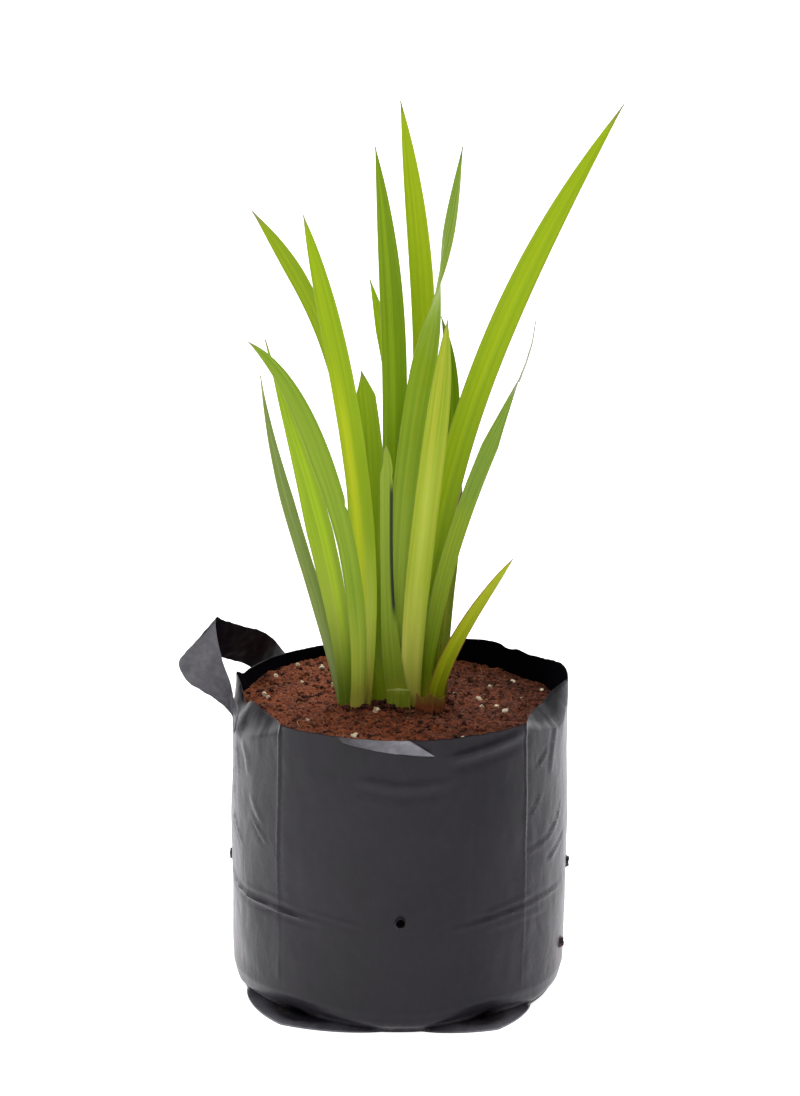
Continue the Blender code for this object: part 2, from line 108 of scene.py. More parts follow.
class Recipe:
    """A material whose shader tree is put together step by step."""

    def __init__(self, name: str) -> None:
        """Starts with a plain Principled shader.

        Args:
            name: The material's name.
        """
        self.material = bpy.data.materials.new(name)
        self.material.use_nodes = True
        self.tree = self.material.node_tree
        self.shader = self.tree.nodes["Principled BSDF"]

    def put(self, socket: bpy.types.NodeSocket, value: object) -> None:
        """Links a socket, or sets a constant, on an input socket."""
        if isinstance(value, bpy.types.NodeSocket):
            self.tree.links.new(value, socket)
        else:
            socket.default_value = value

    def coordinates(self, output: str = "Object") -> bpy.types.NodeSocket:
        """Returns a Texture Coordinate node's output."""
        return self.tree.nodes.new("ShaderNodeTexCoord").outputs[output]

    def stretched(self, vector: bpy.types.NodeSocket, scale: Point, shift: Point = (0.0, 0.0, 0.0)) -> bpy.types.NodeSocket:
        """Returns a vector scaled and shifted by a Mapping node."""
        node = self.tree.nodes.new("ShaderNodeMapping")
        self.put(node.inputs["Vector"], vector)
        node.inputs["Scale"].default_value = scale
        node.inputs["Location"].default_value = shift
        return node.outputs["Vector"]

    def split(self, vector: bpy.types.NodeSocket) -> tuple[bpy.types.NodeSocket, ...]:
        """Returns a vector's X, Y and Z."""
        node = self.tree.nodes.new("ShaderNodeSeparateXYZ")
        self.put(node.inputs[0], vector)
        return tuple(node.outputs)

    def grain(self, vector: bpy.types.NodeSocket, scale: float, detail: float = 3.0, rough: float = 0.5,
              distortion: float = 0.0) -> bpy.types.NodeSocket:
        """Returns a noise between 0 and 1."""
        node = self.tree.nodes.new("ShaderNodeTexNoise")
        self.put(node.inputs["Vector"], vector)
        node.inputs["Scale"].default_value = scale
        node.inputs["Detail"].default_value = detail
        node.inputs["Roughness"].default_value = rough
        node.inputs["Distortion"].default_value = distortion
        return node.outputs["Fac"]

    def cells(self, vector: bpy.types.NodeSocket, scale: float, output: str = "Distance") -> bpy.types.NodeSocket:
        """Returns a Voronoi texture's output."""
        node = self.tree.nodes.new("ShaderNodeTexVoronoi")
        self.put(node.inputs["Vector"], vector)
        node.inputs["Scale"].default_value = scale
        return node.outputs[output]

    def attribute(self, name: str) -> bpy.types.NodeSocket:
        """Returns a number that is kept on the mesh."""
        node = self.tree.nodes.new("ShaderNodeAttribute")
        node.attribute_name = name
        return node.outputs["Fac"]

    def sum(self, operation: str, first: object, second: object = 0.0, clamp: bool = False) -> bpy.types.NodeSocket:
        """Returns a Math node's value for the two inputs."""
        node = self.tree.nodes.new("ShaderNodeMath")
        node.operation = operation
        node.use_clamp = clamp
        self.put(node.inputs[0], first)
        self.put(node.inputs[1], second)
        return node.outputs[0]

    def band(self, value: object, low: float, high: float, from_zero: bool = True) -> bpy.types.NodeSocket:
        """Returns a smooth step of a value from low to high, rising, or falling if from_zero is off."""
        node = self.tree.nodes.new("ShaderNodeMapRange")
        node.interpolation_type = "SMOOTHSTEP"
        self.put(node.inputs["Value"], value)
        node.inputs["From Min"].default_value = low
        node.inputs["From Max"].default_value = high
        node.inputs["To Min"].default_value = 0.0 if from_zero else 1.0
        node.inputs["To Max"].default_value = 1.0 if from_zero else 0.0
        return node.outputs["Result"]

    def blend(self, share: object, first: object, second: object, mode: str = "MIX") -> bpy.types.NodeSocket:
        """Returns a colour mixed from two."""
        node = self.tree.nodes.new("ShaderNodeMix")
        node.data_type = "RGBA"
        node.blend_type = mode
        self.put(node.inputs["Factor"], share)
        self.put(node.inputs[6], first)
        self.put(node.inputs[7], second)
        return node.outputs[2]

    def ramp(self, share: bpy.types.NodeSocket, stops: Sequence[tuple[float, str]]) -> bpy.types.NodeSocket:
        """Returns a colour from a ramp of places and display colours."""
        node = self.tree.nodes.new("ShaderNodeValToRGB")
        self.put(node.inputs["Fac"], share)
        points = node.color_ramp.elements
        while len(points) < len(stops):
            points.new(0.5)
        for point, (place, code) in zip(points, stops):
            point.position = place
            point.color = paint(code)
        return node.outputs["Color"]

    def relief(self, height: bpy.types.NodeSocket, strength: float, depth: float) -> None:
        """Gives the shader a bump of a depth in millimetres."""
        node = self.tree.nodes.new("ShaderNodeBump")
        node.inputs["Strength"].default_value = strength
        node.inputs["Distance"].default_value = depth * MM
        self.put(node.inputs["Height"], height)
        self.put(self.shader.inputs["Normal"], node.outputs["Normal"])

    def finish(self, **sockets: object) -> bpy.types.Material:
        """Sets the shader's inputs, named with _ for each space, and returns the material."""
        for name, value in sockets.items():
            self.put(self.shader.inputs[name.replace("_", " ")], value)
        return self.material


def activate(made: bpy.types.Object) -> None:
    """Selects one object alone and makes it the active one."""
    bpy.ops.object.select_all(action="DESELECT")
    made.select_set(True)
    bpy.context.view_layer.objects.active = made


def keep(made: bpy.types.Object, name: str, material: bpy.types.Material,
         replaced: Sequence[str] = ()) -> bpy.types.Object:
    """Names and dresses a finished piece and ties it to the frame.

    Args:
        made: The piece.
        name: Its plain name.
        material: Its material.
        replaced: The CAD nodes that it stands for.

    Returns:
        The piece.
    """
    made.name = name
    made.data.name = name
    made.data.materials.clear()
    made.data.materials.append(material)
    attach(made, BODY)
    if replaced:
        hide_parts(*replaced)
    LOG.info("%s: %d faces", name, len(made.data.polygons))
    return made


def thicken(made: bpy.types.Object, thickness: float, offset: float, group: str = "", thin: float = 1.0) -> None:
    """Gives a sheet its thickness and applies it.

    Args:
        made: The sheet.
        thickness: The thickness, or the most of it where a group thins it.
        offset: 0 for both ways from the sheet, -1 for inwards and 1 for outwards.
        group: The vertex group that scales the thickness, if any.
        thin: The share of the thickness that is left where the group is 0.
    """
    activate(made)
    bpy.ops.object.modifier_add(type="SOLIDIFY")
    body = made.modifiers[-1]
    body.thickness = thickness * MM
    body.offset = offset
    if group:
        body.vertex_group = group
        body.thickness_vertex_group = thin
    bpy.ops.object.modifier_apply(modifier=body.name)


def bent_grid(rows: int, columns: int, place: Callable[[float, float], Vector]) -> bpy.types.Object:
    """Adds a flat grid and moves each of its points.

    Args:
        rows: Faces along it.
        columns: Faces across it.
        place: Gives a point's place in millimetres from how far along, 0 to 1, and across, -1 to 1, it lies.

    Returns:
        The grid, with its UV map's U across and V along it.
    """
    bpy.ops.object.select_all(action="DESELECT")
    bpy.ops.mesh.primitive_grid_add(x_subdivisions=columns, y_subdivisions=rows, size=2.0)
    made = bpy.context.object
    for vertex in made.data.vertices:
        vertex.co = place((vertex.co.y + 1) / 2, vertex.co.x) * MM
    return made


def turned_shell(rings: np.ndarray, painted_lighting: np.ndarray) -> bpy.types.Object:
    """Adds a sphere and moves its rings to those given, so that it closes at both ends.

    Args:
        rings: Places in millimetres, by ring from first pole to last, then by column, then X, Y, Z.
        painted_lighting: At each place a painted highlight where above 0 and painted shade where below 0, kept as the
            mesh's attribute.

    Returns:
        The closed shell.
    """
    count, columns = rings.shape[:2]
    bpy.ops.object.select_all(action="DESELECT")
    bpy.ops.mesh.primitive_uv_sphere_add(segments=columns, ring_count=count - 1, radius=1.0)
    made = bpy.context.object
    mesh = made.data
    round_points = np.empty(len(mesh.vertices) * 3)
    mesh.vertices.foreach_get("co", round_points)
    round_points = round_points.reshape(-1, 3)
    column = np.rint(np.arctan2(round_points[:, 1], round_points[:, 0]) / math.tau * columns).astype(int) % columns
    falling = np.arccos(np.clip(round_points[:, 2], -1, 1)) / math.pi * (count - 1)
    ring = count - 1 - np.rint(falling).astype(int)
    mesh.vertices.foreach_set("co", (rings[ring, column] * MM).ravel())
    mesh.attributes.new("painted_lighting", "FLOAT", "POINT").data.foreach_set("value", painted_lighting[ring, column])
    mesh.update()
    return made


def join(pieces: Sequence[bpy.types.Object]) -> bpy.types.Object:
    """Joins pieces to the first of them and returns it."""
    bpy.ops.object.select_all(action="DESELECT")
    for piece in pieces:
        piece.select_set(True)
    bpy.context.view_layer.objects.active = pieces[0]
    bpy.ops.object.join()
    return pieces[0]


def settle(made: bpy.types.Object) -> None:
    """Moves an object's place, turn and size into its mesh."""
    activate(made)
    bpy.ops.object.transform_apply(location=True, rotation=True, scale=True)


def soften(made: bpy.types.Object, angle: float) -> None:
    """Shades an object smooth but for edges sharper than the angle."""
    activate(made)
    bpy.ops.object.shade_smooth_by_angle(angle=math.radians(angle))


LEAF_FOOT = 134.0


@dataclass(frozen=True)
class LeafShape:
    """A leaf's centre line as foot, two handles and tip, and how its width and facing change along it."""

    spine: tuple[Point, Point, Point, Point]
    foot_width: float
    width: float
    taper_from: float
    taper_power: float
    turn: float = 0.0
    twist: float = 0.0
    twist_from: float = 0.5
    twist_to: float = 0.8
    cup: float = 0.10
    ripple: float = 0.25
    nicks: tuple[tuple[float, float, float, float], ...] = ()
    rows: int = 130
    rib: float = 1.7
    edge: float = 0.40


@dataclass(frozen=True)
class LeafFinish:
    """A leaf's colours. Places across it run from 0 at its left edge, seen from the front, to 1."""

    middle: str
    light: str
    dark: str
    streak: str = "#c8d42a"
    streak_at: float = 0.38
    streak_width: float = 0.22
    streak_from: float = 0.15
    streak_to: float = 0.75
    streak_share: float = 0.0
    shade_right: float = 0.25
    foot: str = "#b9b534"
    foot_to: float = 0.13
    stain: float = 0.0
    margin: str = "#9c9c4e"
    margin_width: float = 0.035
    margin_share: float = 0.45
    tip: str = "#8f8658"
    tip_from: float = 0.965
    spots: float = 0.0
    upper: str = ""
    upper_from: float = 0.75
    low: str = ""
    low_to: float = 0.5
    spots_from: float = -0.1
    spots_to: float = 1.1
    shadow: tuple[float, float] = (0.0, 0.0)

    def material(self, name: str, seed: float) -> bpy.types.Material:
        """Builds the leaf's material: parallel veins, streaks, margins, foot, tip and spots.

        Args:
            name: The material's name.
            seed: Shifts the noises, so that no two leaves share them.

        Returns:
            The material.
        """
        made = Recipe(name)
        uv = made.coordinates("UV")
        across, along, _ = made.split(uv)
        left = made.sum("SUBTRACT", 1.0, across)
        shift = (seed * 3.7, seed * 1.3, seed)
        veins = made.grain(made.stretched(uv, (34.0, 1.6, 1.0), shift), 1.0, 3.0, 0.55)
        bands = made.grain(made.stretched(uv, (6.0, 1.1, 1.0), shift), 1.0, 2.0, 0.5)
        mottle = made.grain(made.stretched(uv, (8.0, 26.0, 1.0), shift), 1.0, 4.0, 0.6)
        colour = made.blend(made.band(bands, 0.35, 0.68), paint(self.middle), paint(self.light))
        colour = made.blend(made.sum("MULTIPLY", made.band(veins, 0.56, 0.36), 0.4), colour, paint(self.dark))
        colour = made.blend(made.sum("MULTIPLY", made.band(veins, 0.52, 0.78), 0.4), colour, paint(self.light))
        right = made.sum("MULTIPLY", made.band(left, 0.40, 0.68), self.shade_right)
        colour = made.blend(right, colour, paint(self.dark))
        if self.low:
            pale = made.sum("MULTIPLY", made.band(along, 0.1, self.low_to, from_zero=False),
                            made.band(left, 1.15, 0.55))
            colour = made.blend(made.sum("MULTIPLY", pale, made.sum("ADD", 0.4, made.sum("MULTIPLY", bands, 0.8))),
                                colour, paint(self.low))
        if self.upper:
            colour = made.blend(made.band(along, self.upper_from - 0.05, self.upper_from + 0.05), colour,
                                made.blend(made.band(veins, 0.35, 0.65), paint(self.upper), paint(self.dark)))
        if self.streak_share:
            off = made.sum("ABSOLUTE", made.sum("SUBTRACT", left, self.streak_at))
            beam = made.band(off, 0.0, self.streak_width, from_zero=False)
            reach = made.sum("MULTIPLY", made.band(along, self.streak_from - 0.15, self.streak_from + 0.1),
                             made.band(along, self.streak_to - 0.1, self.streak_to + 0.15, from_zero=False))
            frayed = made.sum("ADD", 0.3, made.sum("MULTIPLY", veins, 1.3))
            share = made.sum("MULTIPLY", made.sum("MULTIPLY", beam, reach), made.sum("MULTIPLY", frayed, self.streak_share))
            colour = made.blend(share, colour, paint(self.streak))
        rib = made.band(made.sum("ABSOLUTE", made.sum("SUBTRACT", left, 0.5)), 0.012, 0.045, from_zero=False)
        colour = made.blend(made.sum("MULTIPLY", rib, 0.22), colour, paint(self.light))
        edge = made.sum("MINIMUM", left, across)
        rim = made.band(made.sum("ADD", edge, made.sum("MULTIPLY", made.sum("SUBTRACT", mottle, 0.5), 0.03)),
                        0.0, self.margin_width, from_zero=False)
        colour = made.blend(made.sum("MULTIPLY", rim, self.margin_share), colour, paint(self.margin))
        low = made.band(made.sum("ADD", along, made.sum("MULTIPLY", made.sum("SUBTRACT", veins, 0.5), 0.05)),
                        0.02, self.foot_to, from_zero=False)
        colour = made.blend(made.sum("MULTIPLY", low, 0.8), colour, paint(self.foot))
        if self.stain:
            soak = made.band(made.sum("ADD", along, made.sum("MULTIPLY", made.sum("SUBTRACT", mottle, 0.5), 0.10)),
                             0.02, self.stain, from_zero=False)
            colour = made.blend(made.sum("MULTIPLY", soak, made.band(mottle, 0.35, 0.6)), colour, paint("#7d4426"))
        if self.spots:
            freckles = made.cells(made.stretched(uv, (5.0, 26.0, 1.0), shift), 1.0)
            rust = made.sum("MULTIPLY", made.band(freckles, 0.22, 0.10), made.band(mottle, 0.45, 0.6))
            rust = made.sum("MULTIPLY", rust, made.band(along, self.spots_from, self.spots_from + 0.03))
            rust = made.sum("MULTIPLY", rust, made.band(along, self.spots_to, self.spots_to - 0.03))
            colour = made.blend(made.sum("MULTIPLY", rust, self.spots), colour, paint("#5d3f1c"))
        # Painted shadow: a near-black strip just inside the right edge, over the stretch of length that shadow gives,
        # for the deep shade beside the leaf.
        if self.shadow[1]:
            painted_shadow_strip = made.sum("MULTIPLY", made.band(left, 0.66, 0.84), made.band(along, self.shadow[0], self.shadow[0] + 0.08))
            painted_shadow_strip = made.sum("MULTIPLY", painted_shadow_strip, made.band(along, self.shadow[1], self.shadow[1] - 0.08))
            colour = made.blend(made.sum("MULTIPLY", painted_shadow_strip, 0.95), colour, paint("#101a06"))
        end = made.band(made.sum("ADD", along, made.sum("MULTIPLY", made.sum("SUBTRACT", mottle, 0.5), 0.02)),
                        self.tip_from, min(1.0, self.tip_from + 0.04))
        colour = made.blend(end, colour, paint(self.tip))
        made.relief(made.sum("ADD", made.sum("MULTIPLY", veins, 0.8), made.sum("MULTIPLY", mottle, 0.2)), 0.35, 0.2)
        rough = made.sum("ADD", 0.36, made.sum("MULTIPLY", mottle, 0.22))
        return made.finish(Base_Color=colour, Roughness=rough, Specular_IOR_Level=0.2)


@dataclass(frozen=True)
class Leaf:
    """One sword-shaped leaf."""

    node: str
    shape: LeafShape
    finish: LeafFinish
    slot: Slot = Slot.LEAF
    columns: int = 16

    def spine_point(self, share: float) -> Vector:
        """Returns the centre line's point at a share of its length."""
        foot, low, high, tip = (Vector(point) for point in self.shape.spine)
        rest = 1 - share
        return rest**3 * foot + 3 * rest**2 * share * low + 3 * rest * share**2 * high + share**3 * tip

    def spine_direction(self, share: float) -> Vector:
        """Returns the centre line's direction at a share of its length."""
        foot, low, high, tip = (Vector(point) for point in self.shape.spine)
        rest = 1 - share
        return (rest**2 * (low - foot) + 2 * rest * share * (high - low) + share**2 * (tip - high)).normalized()

    def width_at(self, share: float, across: float) -> float:
        """Returns the blade's width at a share of its length, less what a nick takes from that side."""
        shape = self.shape
        grown = mix(shape.foot_width, shape.width, smooth(share / 0.4))
        past = max(0.0, (share - shape.taper_from) / (1 - shape.taper_from))
        width = max(0.25, grown * (1 - past**shape.taper_power))
        for at, side, depth, length in shape.nicks:
            if side * across > 0:
                width -= 2 * depth * max(0.0, 1 - abs(share - at) / length)
        return width

    def place(self, share: float, across: float) -> Vector:
        """Returns the place of the blade's point that lies at share along it and across from -1 to 1."""
        shape = self.shape
        turned = shape.turn * smooth(share / 0.5)
        turned += shape.twist * smooth((share - shape.twist_from) / (shape.twist_to - shape.twist_from))
        facing = Vector((math.sin(math.radians(turned)), -math.cos(math.radians(turned)), 0.0))
        along = self.spine_direction(share)
        side = facing.cross(along).normalized()
        front = along.cross(side)
        half = self.width_at(share, across) / 2
        bent = shape.cup * half * across * across * smooth(share / 0.3)
        wave = noise.noise(Vector((across * 1.5, share * 14, len(self.node) * 3.1)))
        bent += shape.ripple * wave * across * across * smooth(share / 0.15)
        return self.spine_point(share) + side * half * across + front * bent

    def build(self, seed: float) -> bpy.types.Object:
        """Builds the blade, thick at its midrib and thin at its edges.

        Args:
            seed: Shifts the material's noises.

        Returns:
            The leaf.
        """
        shape = self.shape
        made = bent_grid(shape.rows, self.columns, self.place)
        group = made.vertex_groups.new(name="midrib")
        uv = {}
        for loop in made.data.loops:
            uv[loop.vertex_index] = made.data.uv_layers[0].data[loop.index].uv
        for vertex in made.data.vertices:
            across = uv[vertex.index][0] * 2 - 1
            share = uv[vertex.index][1]
            lens = 0.62 * (1 - across * across) + 0.38 * math.exp(-((across / 0.13) ** 2))
            group.add([vertex.index], lens * (1 - smooth((share - 0.75) / 0.25)), "REPLACE")
        thicken(made, shape.rib, 0.0, group.name, shape.edge / shape.rib)
        soften(made, 50)
        return keep(made, self.node + "_blade", self.finish.material(self.node, seed), (self.node,))


LEFT_FAN = (
    Leaf("leaf_left_outer",
         LeafShape(((-26, -6.5, LEAF_FOOT), (-36, -4, 196), (-60, 2, 241), (-68, 7, 307)), 6.2, 7.4, 0.66, 1.2, 35),
         LeafFinish("#8c9d55", "#a2b06e", "#6e8740", tip_from=0.93, foot="#8e9a1e", tip="#a9a978")),
    Leaf("leaf_left_low",
         LeafShape(((-26, -9, LEAF_FOOT), (-28, -14, 221), (-51, -22, 276), (-64, -31, 333)), 7.1, 12.0, 0.45, 1.0, -12,
                   nicks=((0.5, 1, -1.1, 0.42), (0.6, -1, -1.0, 0.2))),
         # The dark green foot, over the lowest 0.3 of the blade, is painted shade.
         LeafFinish("#86a40a", "#9fb91a", "#6c8e08", streak="#b2d00e", streak_at=0.62, streak_share=0.6, low="#a9b845", low_to=0.5,
                    foot="#587a14", foot_to=0.30)),
    Leaf("leaf_left_front",
         LeafShape(((-23, -14, LEAF_FOOT), (-12, -23, 204), (-37, -39, 308), (-71, -55, 337)), 6.8, 8.9, 0.52, 3.5, 15,
                   nicks=((0.50, -1, 0.8, 0.012), (0.62, 1, -1.8, 0.2))),
         LeafFinish("#789712", "#8ca627", "#597f07", shade_right=0.1, low="#bccb4a", low_to=0.34, foot="#c6bb52")),
    Leaf("leaf_left_arching",
         LeafShape(((-17, -9, LEAF_FOOT), (-26, -1, 244), (-8, 13, 306), (-72, 27, 384)), 7.6, 8.7, 0.86, 1.9, -14),
         LeafFinish("#8aa302", "#9fb414", "#739102", margin="#8f9436")),
    Leaf("leaf_left_tall",
         LeafShape(((-21, -11.5, LEAF_FOOT), (-9, -14, 219), (-26, -17, 314), (-46, -21, 391)), 9.1, 11.6, 0.52, 3.5, 12),
         LeafFinish("#90ae00", "#a9bf01", "#789a00", streak="#c6d014", streak_at=0.28, streak_width=0.36,
                    streak_from=0.08, streak_to=0.6, streak_share=0.95, low="#e2e868", low_to=0.42, margin_share=0.2,
                    shade_right=0.25, foot="#c9bd55", foot_to=0.16, stain=0.10)),
    Leaf("leaf_left_short",
         LeafShape(((-10, -6.5, LEAF_FOOT), (-19, -2, 208), (-9, 5, 257), (-19, 13, 308)), 7.0, 10.3, 0.92, 1.0, -15,
                   nicks=((0.5, -1, -1.0, 0.3), (0.70, -1, -1.3, 0.2), (0.12, -1, -0.9, 0.3))),
         LeafFinish("#92ac12", "#a6bd22", "#7a9808", foot="#7d8f0a")),
)

MIDDLE_FAN = (
    Leaf("leaf_middle_dark",
         LeafShape(((-2, 1, LEAF_FOOT), (-7, -1, 251), (4, -4, 308), (-12, -7, 421)), 5.4, 12.5, 0.61, 2.9, 18),
         LeafFinish("#769500", "#89a500", "#608100", shade_right=0.4, spots=0.9, spots_from=0.36, spots_to=0.47, tip="#6f8614")),
    Leaf("leaf_middle_small",
         LeafShape(((-2, 6, LEAF_FOOT), (-1, 11, 211), (6, 20, 278), (-15, 29, 350)), 8.0, 6.8, 0.88, 1.3),
         LeafFinish("#94b002", "#a4be16", "#7a9800", tip_from=0.975, tip="#7c8f2a")),
    Leaf("leaf_middle_tallest",
         LeafShape(((1, 3.5, LEAF_FOOT), (10, 10, 252), (21, 21, 309), (0, 33, 437)), 7.4, 12.0, 0.64, 3.5, -16),
         LeafFinish("#94ad00", "#abbf0d", "#829e00", tip_from=0.975, tip="#5f7c0e", margin="#b5cc3a")),
    Leaf("leaf_middle_twisted",
         LeafShape(((1, -1.5, LEAF_FOOT), (-7, -7, 262), (15, -16, 325), (29, -25, 424)), 5.8, 12.2, 0.57, 2.4,
                   twist=150, twist_from=0.53, twist_to=0.95),
         # Its pale low colour is the blade's paler base, made brighter still as painted light against the shade of the
         # leaf in front.
         LeafFinish("#7d9c04", "#91a616", "#618604", upper="#93a748", upper_from=0.78, low="#c2dc50", low_to=0.5, foot="#c4c850", tip="#5d6f34")),
    Leaf("leaf_middle_front",
         LeafShape(((5, -4, LEAF_FOOT), (4, -12, 205), (18, -25, 280), (22, -39, 344)), 9.6, 12.0, 0.51, 3.5, 8),
         LeafFinish("#8ea50f", "#adb12c", "#73910b", streak="#b4c044", streak_at=0.46, streak_width=0.44, streak_share=0.8,
                    streak_from=0.05, streak_to=0.62, low="#e6e470", low_to=0.4, foot="#d0b850", foot_to=0.10)),
    Leaf("leaf_middle_back",
         LeafShape(((10, 6, LEAF_FOOT), (5, 13, 203), (37, 25, 271), (20, 37, 330)), 8.0, 9.7, 0.48, 3.5, -10),
         LeafFinish("#6a8600", "#7e9905", "#506e00")),
    Leaf("leaf_middle_torn",
         LeafShape(((0, -6.5, LEAF_FOOT), (-10, -12, 210), (-6, -19, 240), (-7, -26, 280)), 10.0, 6.4, 0.81, 3.5, 15,
                   nicks=((0.93, 1, 1.1, 0.05), (0.86, -1, 0.6, 0.02), (0.2, 1, -0.8, 0.25))),
         LeafFinish("#7e9721", "#92a62d", "#668411", tip="#8d8d48", tip_from=0.965, shadow=(0.26, 0.86), shade_right=0.1)),
    Leaf("cut_leaf_stub",
         LeafShape(((-1, -9, LEAF_FOOT), (-1, -9, 145), (-1, -9.3, 149), (-1, -9.5, 153)), 11.5, 11.5, 0.97, 9.0,
                   ripple=0.1, rows=20),
         LeafFinish("#86981f", "#9aa838", "#6f8614", tip="#b2c266", tip_from=0.9, foot="#8a7a30", foot_to=0.6)),
)

RIGHT_FAN = (
    Leaf("leaf_right_long",
         LeafShape(((10, 1, LEAF_FOOT), (9, -2, 242), (40, -7, 339), (105, -13, 442)), 10.1, 13.2, 0.56, 2.6, -12),
         LeafFinish("#90ab00", "#a3bb04", "#7d9a00", margin="#94943c", margin_width=0.06, margin_share=0.8,
                    tip="#8d8a52", tip_from=0.955)),
    Leaf("leaf_right_hair_tip",
         LeafShape(((9, -1.5, LEAF_FOOT), (16, -7, 211), (33, -16, 255), (57, -25, 314)), 7.1, 8.4, 0.79, 1.0, 12),
         LeafFinish("#768f08", "#889c17", "#5d7b03", upper="#7f9a34", upper_from=0.6, tip="#8f9670", tip_from=0.93)),
    Leaf("leaf_right_old",
         LeafShape(((19, 3.5, LEAF_FOOT), (19, 7, 181), (26, 13, 219), (30, 19, 253)), 8.6, 7.7, 0.31, 3.5, 10),
         LeafFinish("#758801", "#939910", "#4f621a", spots=0.9, foot="#5e4a20", foot_to=0.3, tip="#6b5a2a",
                    tip_from=0.8), Slot.OLD_LEAF),
    Leaf("leaf_right_small",
         LeafShape(((17, -4, LEAF_FOOT), (12, -9, 163), (45, -18, 209), (54, -27, 224)), 8.0, 8.3, 0.0, 2.7, 10),
         LeafFinish("#9cac0d", "#b3ba1f", "#819506", margin="#8f5a30", margin_width=0.13, margin_share=0.75,
                    tip="#7a5136", tip_from=0.94, foot="#8d5a2c", foot_to=0.22, stain=0.2)),
)


@dataclass(frozen=True)
class Hair:
    """The long dried hair that a leaf's tip ends in."""

    points: tuple[Point, ...] = ((56.2, -24.7, 311.0), (59.6, -26.0, 320.5), (62.4, -27.0, 330.5), (64.0, -27.7, 341.5))
    radii: tuple[float, ...] = (0.62, 0.5, 0.38, 0.24)
    sides: int = 8

    def build(self) -> bpy.types.Object:
        """Builds the hair as a tapered cylinder bent through its points."""
        bpy.ops.object.select_all(action="DESELECT")
        bpy.ops.mesh.primitive_cylinder_add(vertices=self.sides, radius=1.0, depth=1.0)
        made = bpy.context.object
        bpy.ops.object.mode_set(mode="EDIT")
        bpy.ops.mesh.select_all(action="SELECT")
        cuts = len(self.points) - 2
        for cut in range(1, cuts + 1):
            bpy.ops.mesh.select_all(action="SELECT")
            bpy.ops.mesh.bisect(plane_co=(0, 0, cut / (cuts + 1) - 0.5), plane_no=(0, 0, 1))
        bpy.ops.object.mode_set(mode="OBJECT")
        last = len(self.points) - 1
        for vertex in made.data.vertices:
            ring = round((vertex.co.z + 0.5) * last)
            centre = Vector(self.points[ring])
            vertex.co = (centre + Vector((vertex.co.x, vertex.co.y, 0.0)) * self.radii[ring]) * MM
        soften(made, 60)
        grey = Recipe("dried_hair")
        fibres = grey.grain(grey.stretched(grey.coordinates(), (900.0, 900.0, 60.0)), 1.0)
        colour = grey.ramp(fibres, ((0.3, "#8f8c78"), (0.7, "#b9b6a4")))
        grey.relief(fibres, 0.3, 0.05)
        return keep(made, "leaf_right_hair", grey.finish(Base_Color=colour, Roughness=0.6))


@dataclass(frozen=True)
class OldSheath:
    """The brown, dried leaf base that clasps the foot of the right fan."""

    foot: Point = (14.0, -9.0, 134.0)
    lean: Point = (1.0, -1.5, 20.0)
    width: float = 15.5
    wrap: float = 2.4
    thickness: float = 0.6
    rows: int = 40
    columns: int = 60

    def place(self, share: float, across: float) -> Vector:
        """Returns the place of the point that lies at share up the sheath and across from -1 to 1."""
        ragged = 0.80 + 0.30 * noise.noise(Vector((across * 1.4, 2.0, 0.5)))
        ragged += 0.04 * noise.noise(Vector((across * 4.0, 5.0, 0.5)))
        height = share * min(max(ragged, 0.25), 1.0)
        crumple = 0.3 * noise.noise(Vector((across * 3.0, height * 2.0, 9.0)))
        return Vector(self.foot) + Vector(self.lean) * height + Vector((
            across * self.width / 2 * (1 - 0.12 * height),
            self.wrap * across * across * (0.6 + 0.4 * height) - 1.2 + crumple,
            0.0,
        ))

    def build(self) -> bpy.types.Object:
        """Builds the sheath with its ragged upper edge."""
        made = bent_grid(self.rows, self.columns, self.place)
        thicken(made, self.thickness, 0.0)
        soften(made, 50)
        return keep(made, "old_sheath_fibres", self.material(), ("old_sheath",))

    def material(self) -> bpy.types.Material:
        """Builds the dry, fibrous brown of the sheath."""
        made = Recipe("dry_sheath")
        uv = made.coordinates("UV")
        fibres = made.grain(made.stretched(uv, (9.0, 1.5, 1.0)), 1.0, 4.0, 0.6)
        patches = made.grain(made.stretched(uv, (4.0, 2.0, 1.0)), 1.0, 3.0, 0.6)
        colour = made.ramp(fibres, ((0.3, "#5c2a12"), (0.5, "#7e4020"), (0.7, "#96552a")))
        colour = made.blend(made.sum("MULTIPLY", made.band(patches, 0.5, 0.7), 0.5), colour, paint("#8a6a30"))
        colour = made.blend(made.sum("MULTIPLY", made.band(made.split(uv)[1], 0.6, 1.0), 0.5), colour, paint("#928a36"))
        made.relief(fibres, 0.3, 0.2)
        return made.finish(Base_Color=colour, Roughness=0.8, Specular_IOR_Level=0.2)


@dataclass(frozen=True)
class Pleat:
    """A V that the rim folds inwards, from its apex up to the rim."""

    angle: float
    half_angle: float
    apex: float
    depth: float
    side: float = 4.0
    fullness: float = 2.5

    def inwards(self, angle: float, height: float, top: float) -> float:
        """Returns how far the film leans in at a point: nothing below the V, the most at the rim."""
        off = angle_between(angle, self.angle) / self.half_angle
        if off >= 1:
            return 0.0
        fold = mix(self.apex, top - self.side, off)
        lean = min(max((height - fold) / (top - fold), 0.0), 1.0)
        return self.depth * lean * (1 - off**self.fullness)


@dataclass(frozen=True)
class Crease:
    """A sharp fold line in the film: a ridge, with a groove beside it, along a path of angle and height."""

    path: tuple[tuple[float, float], ...]
    height: float
    width: float


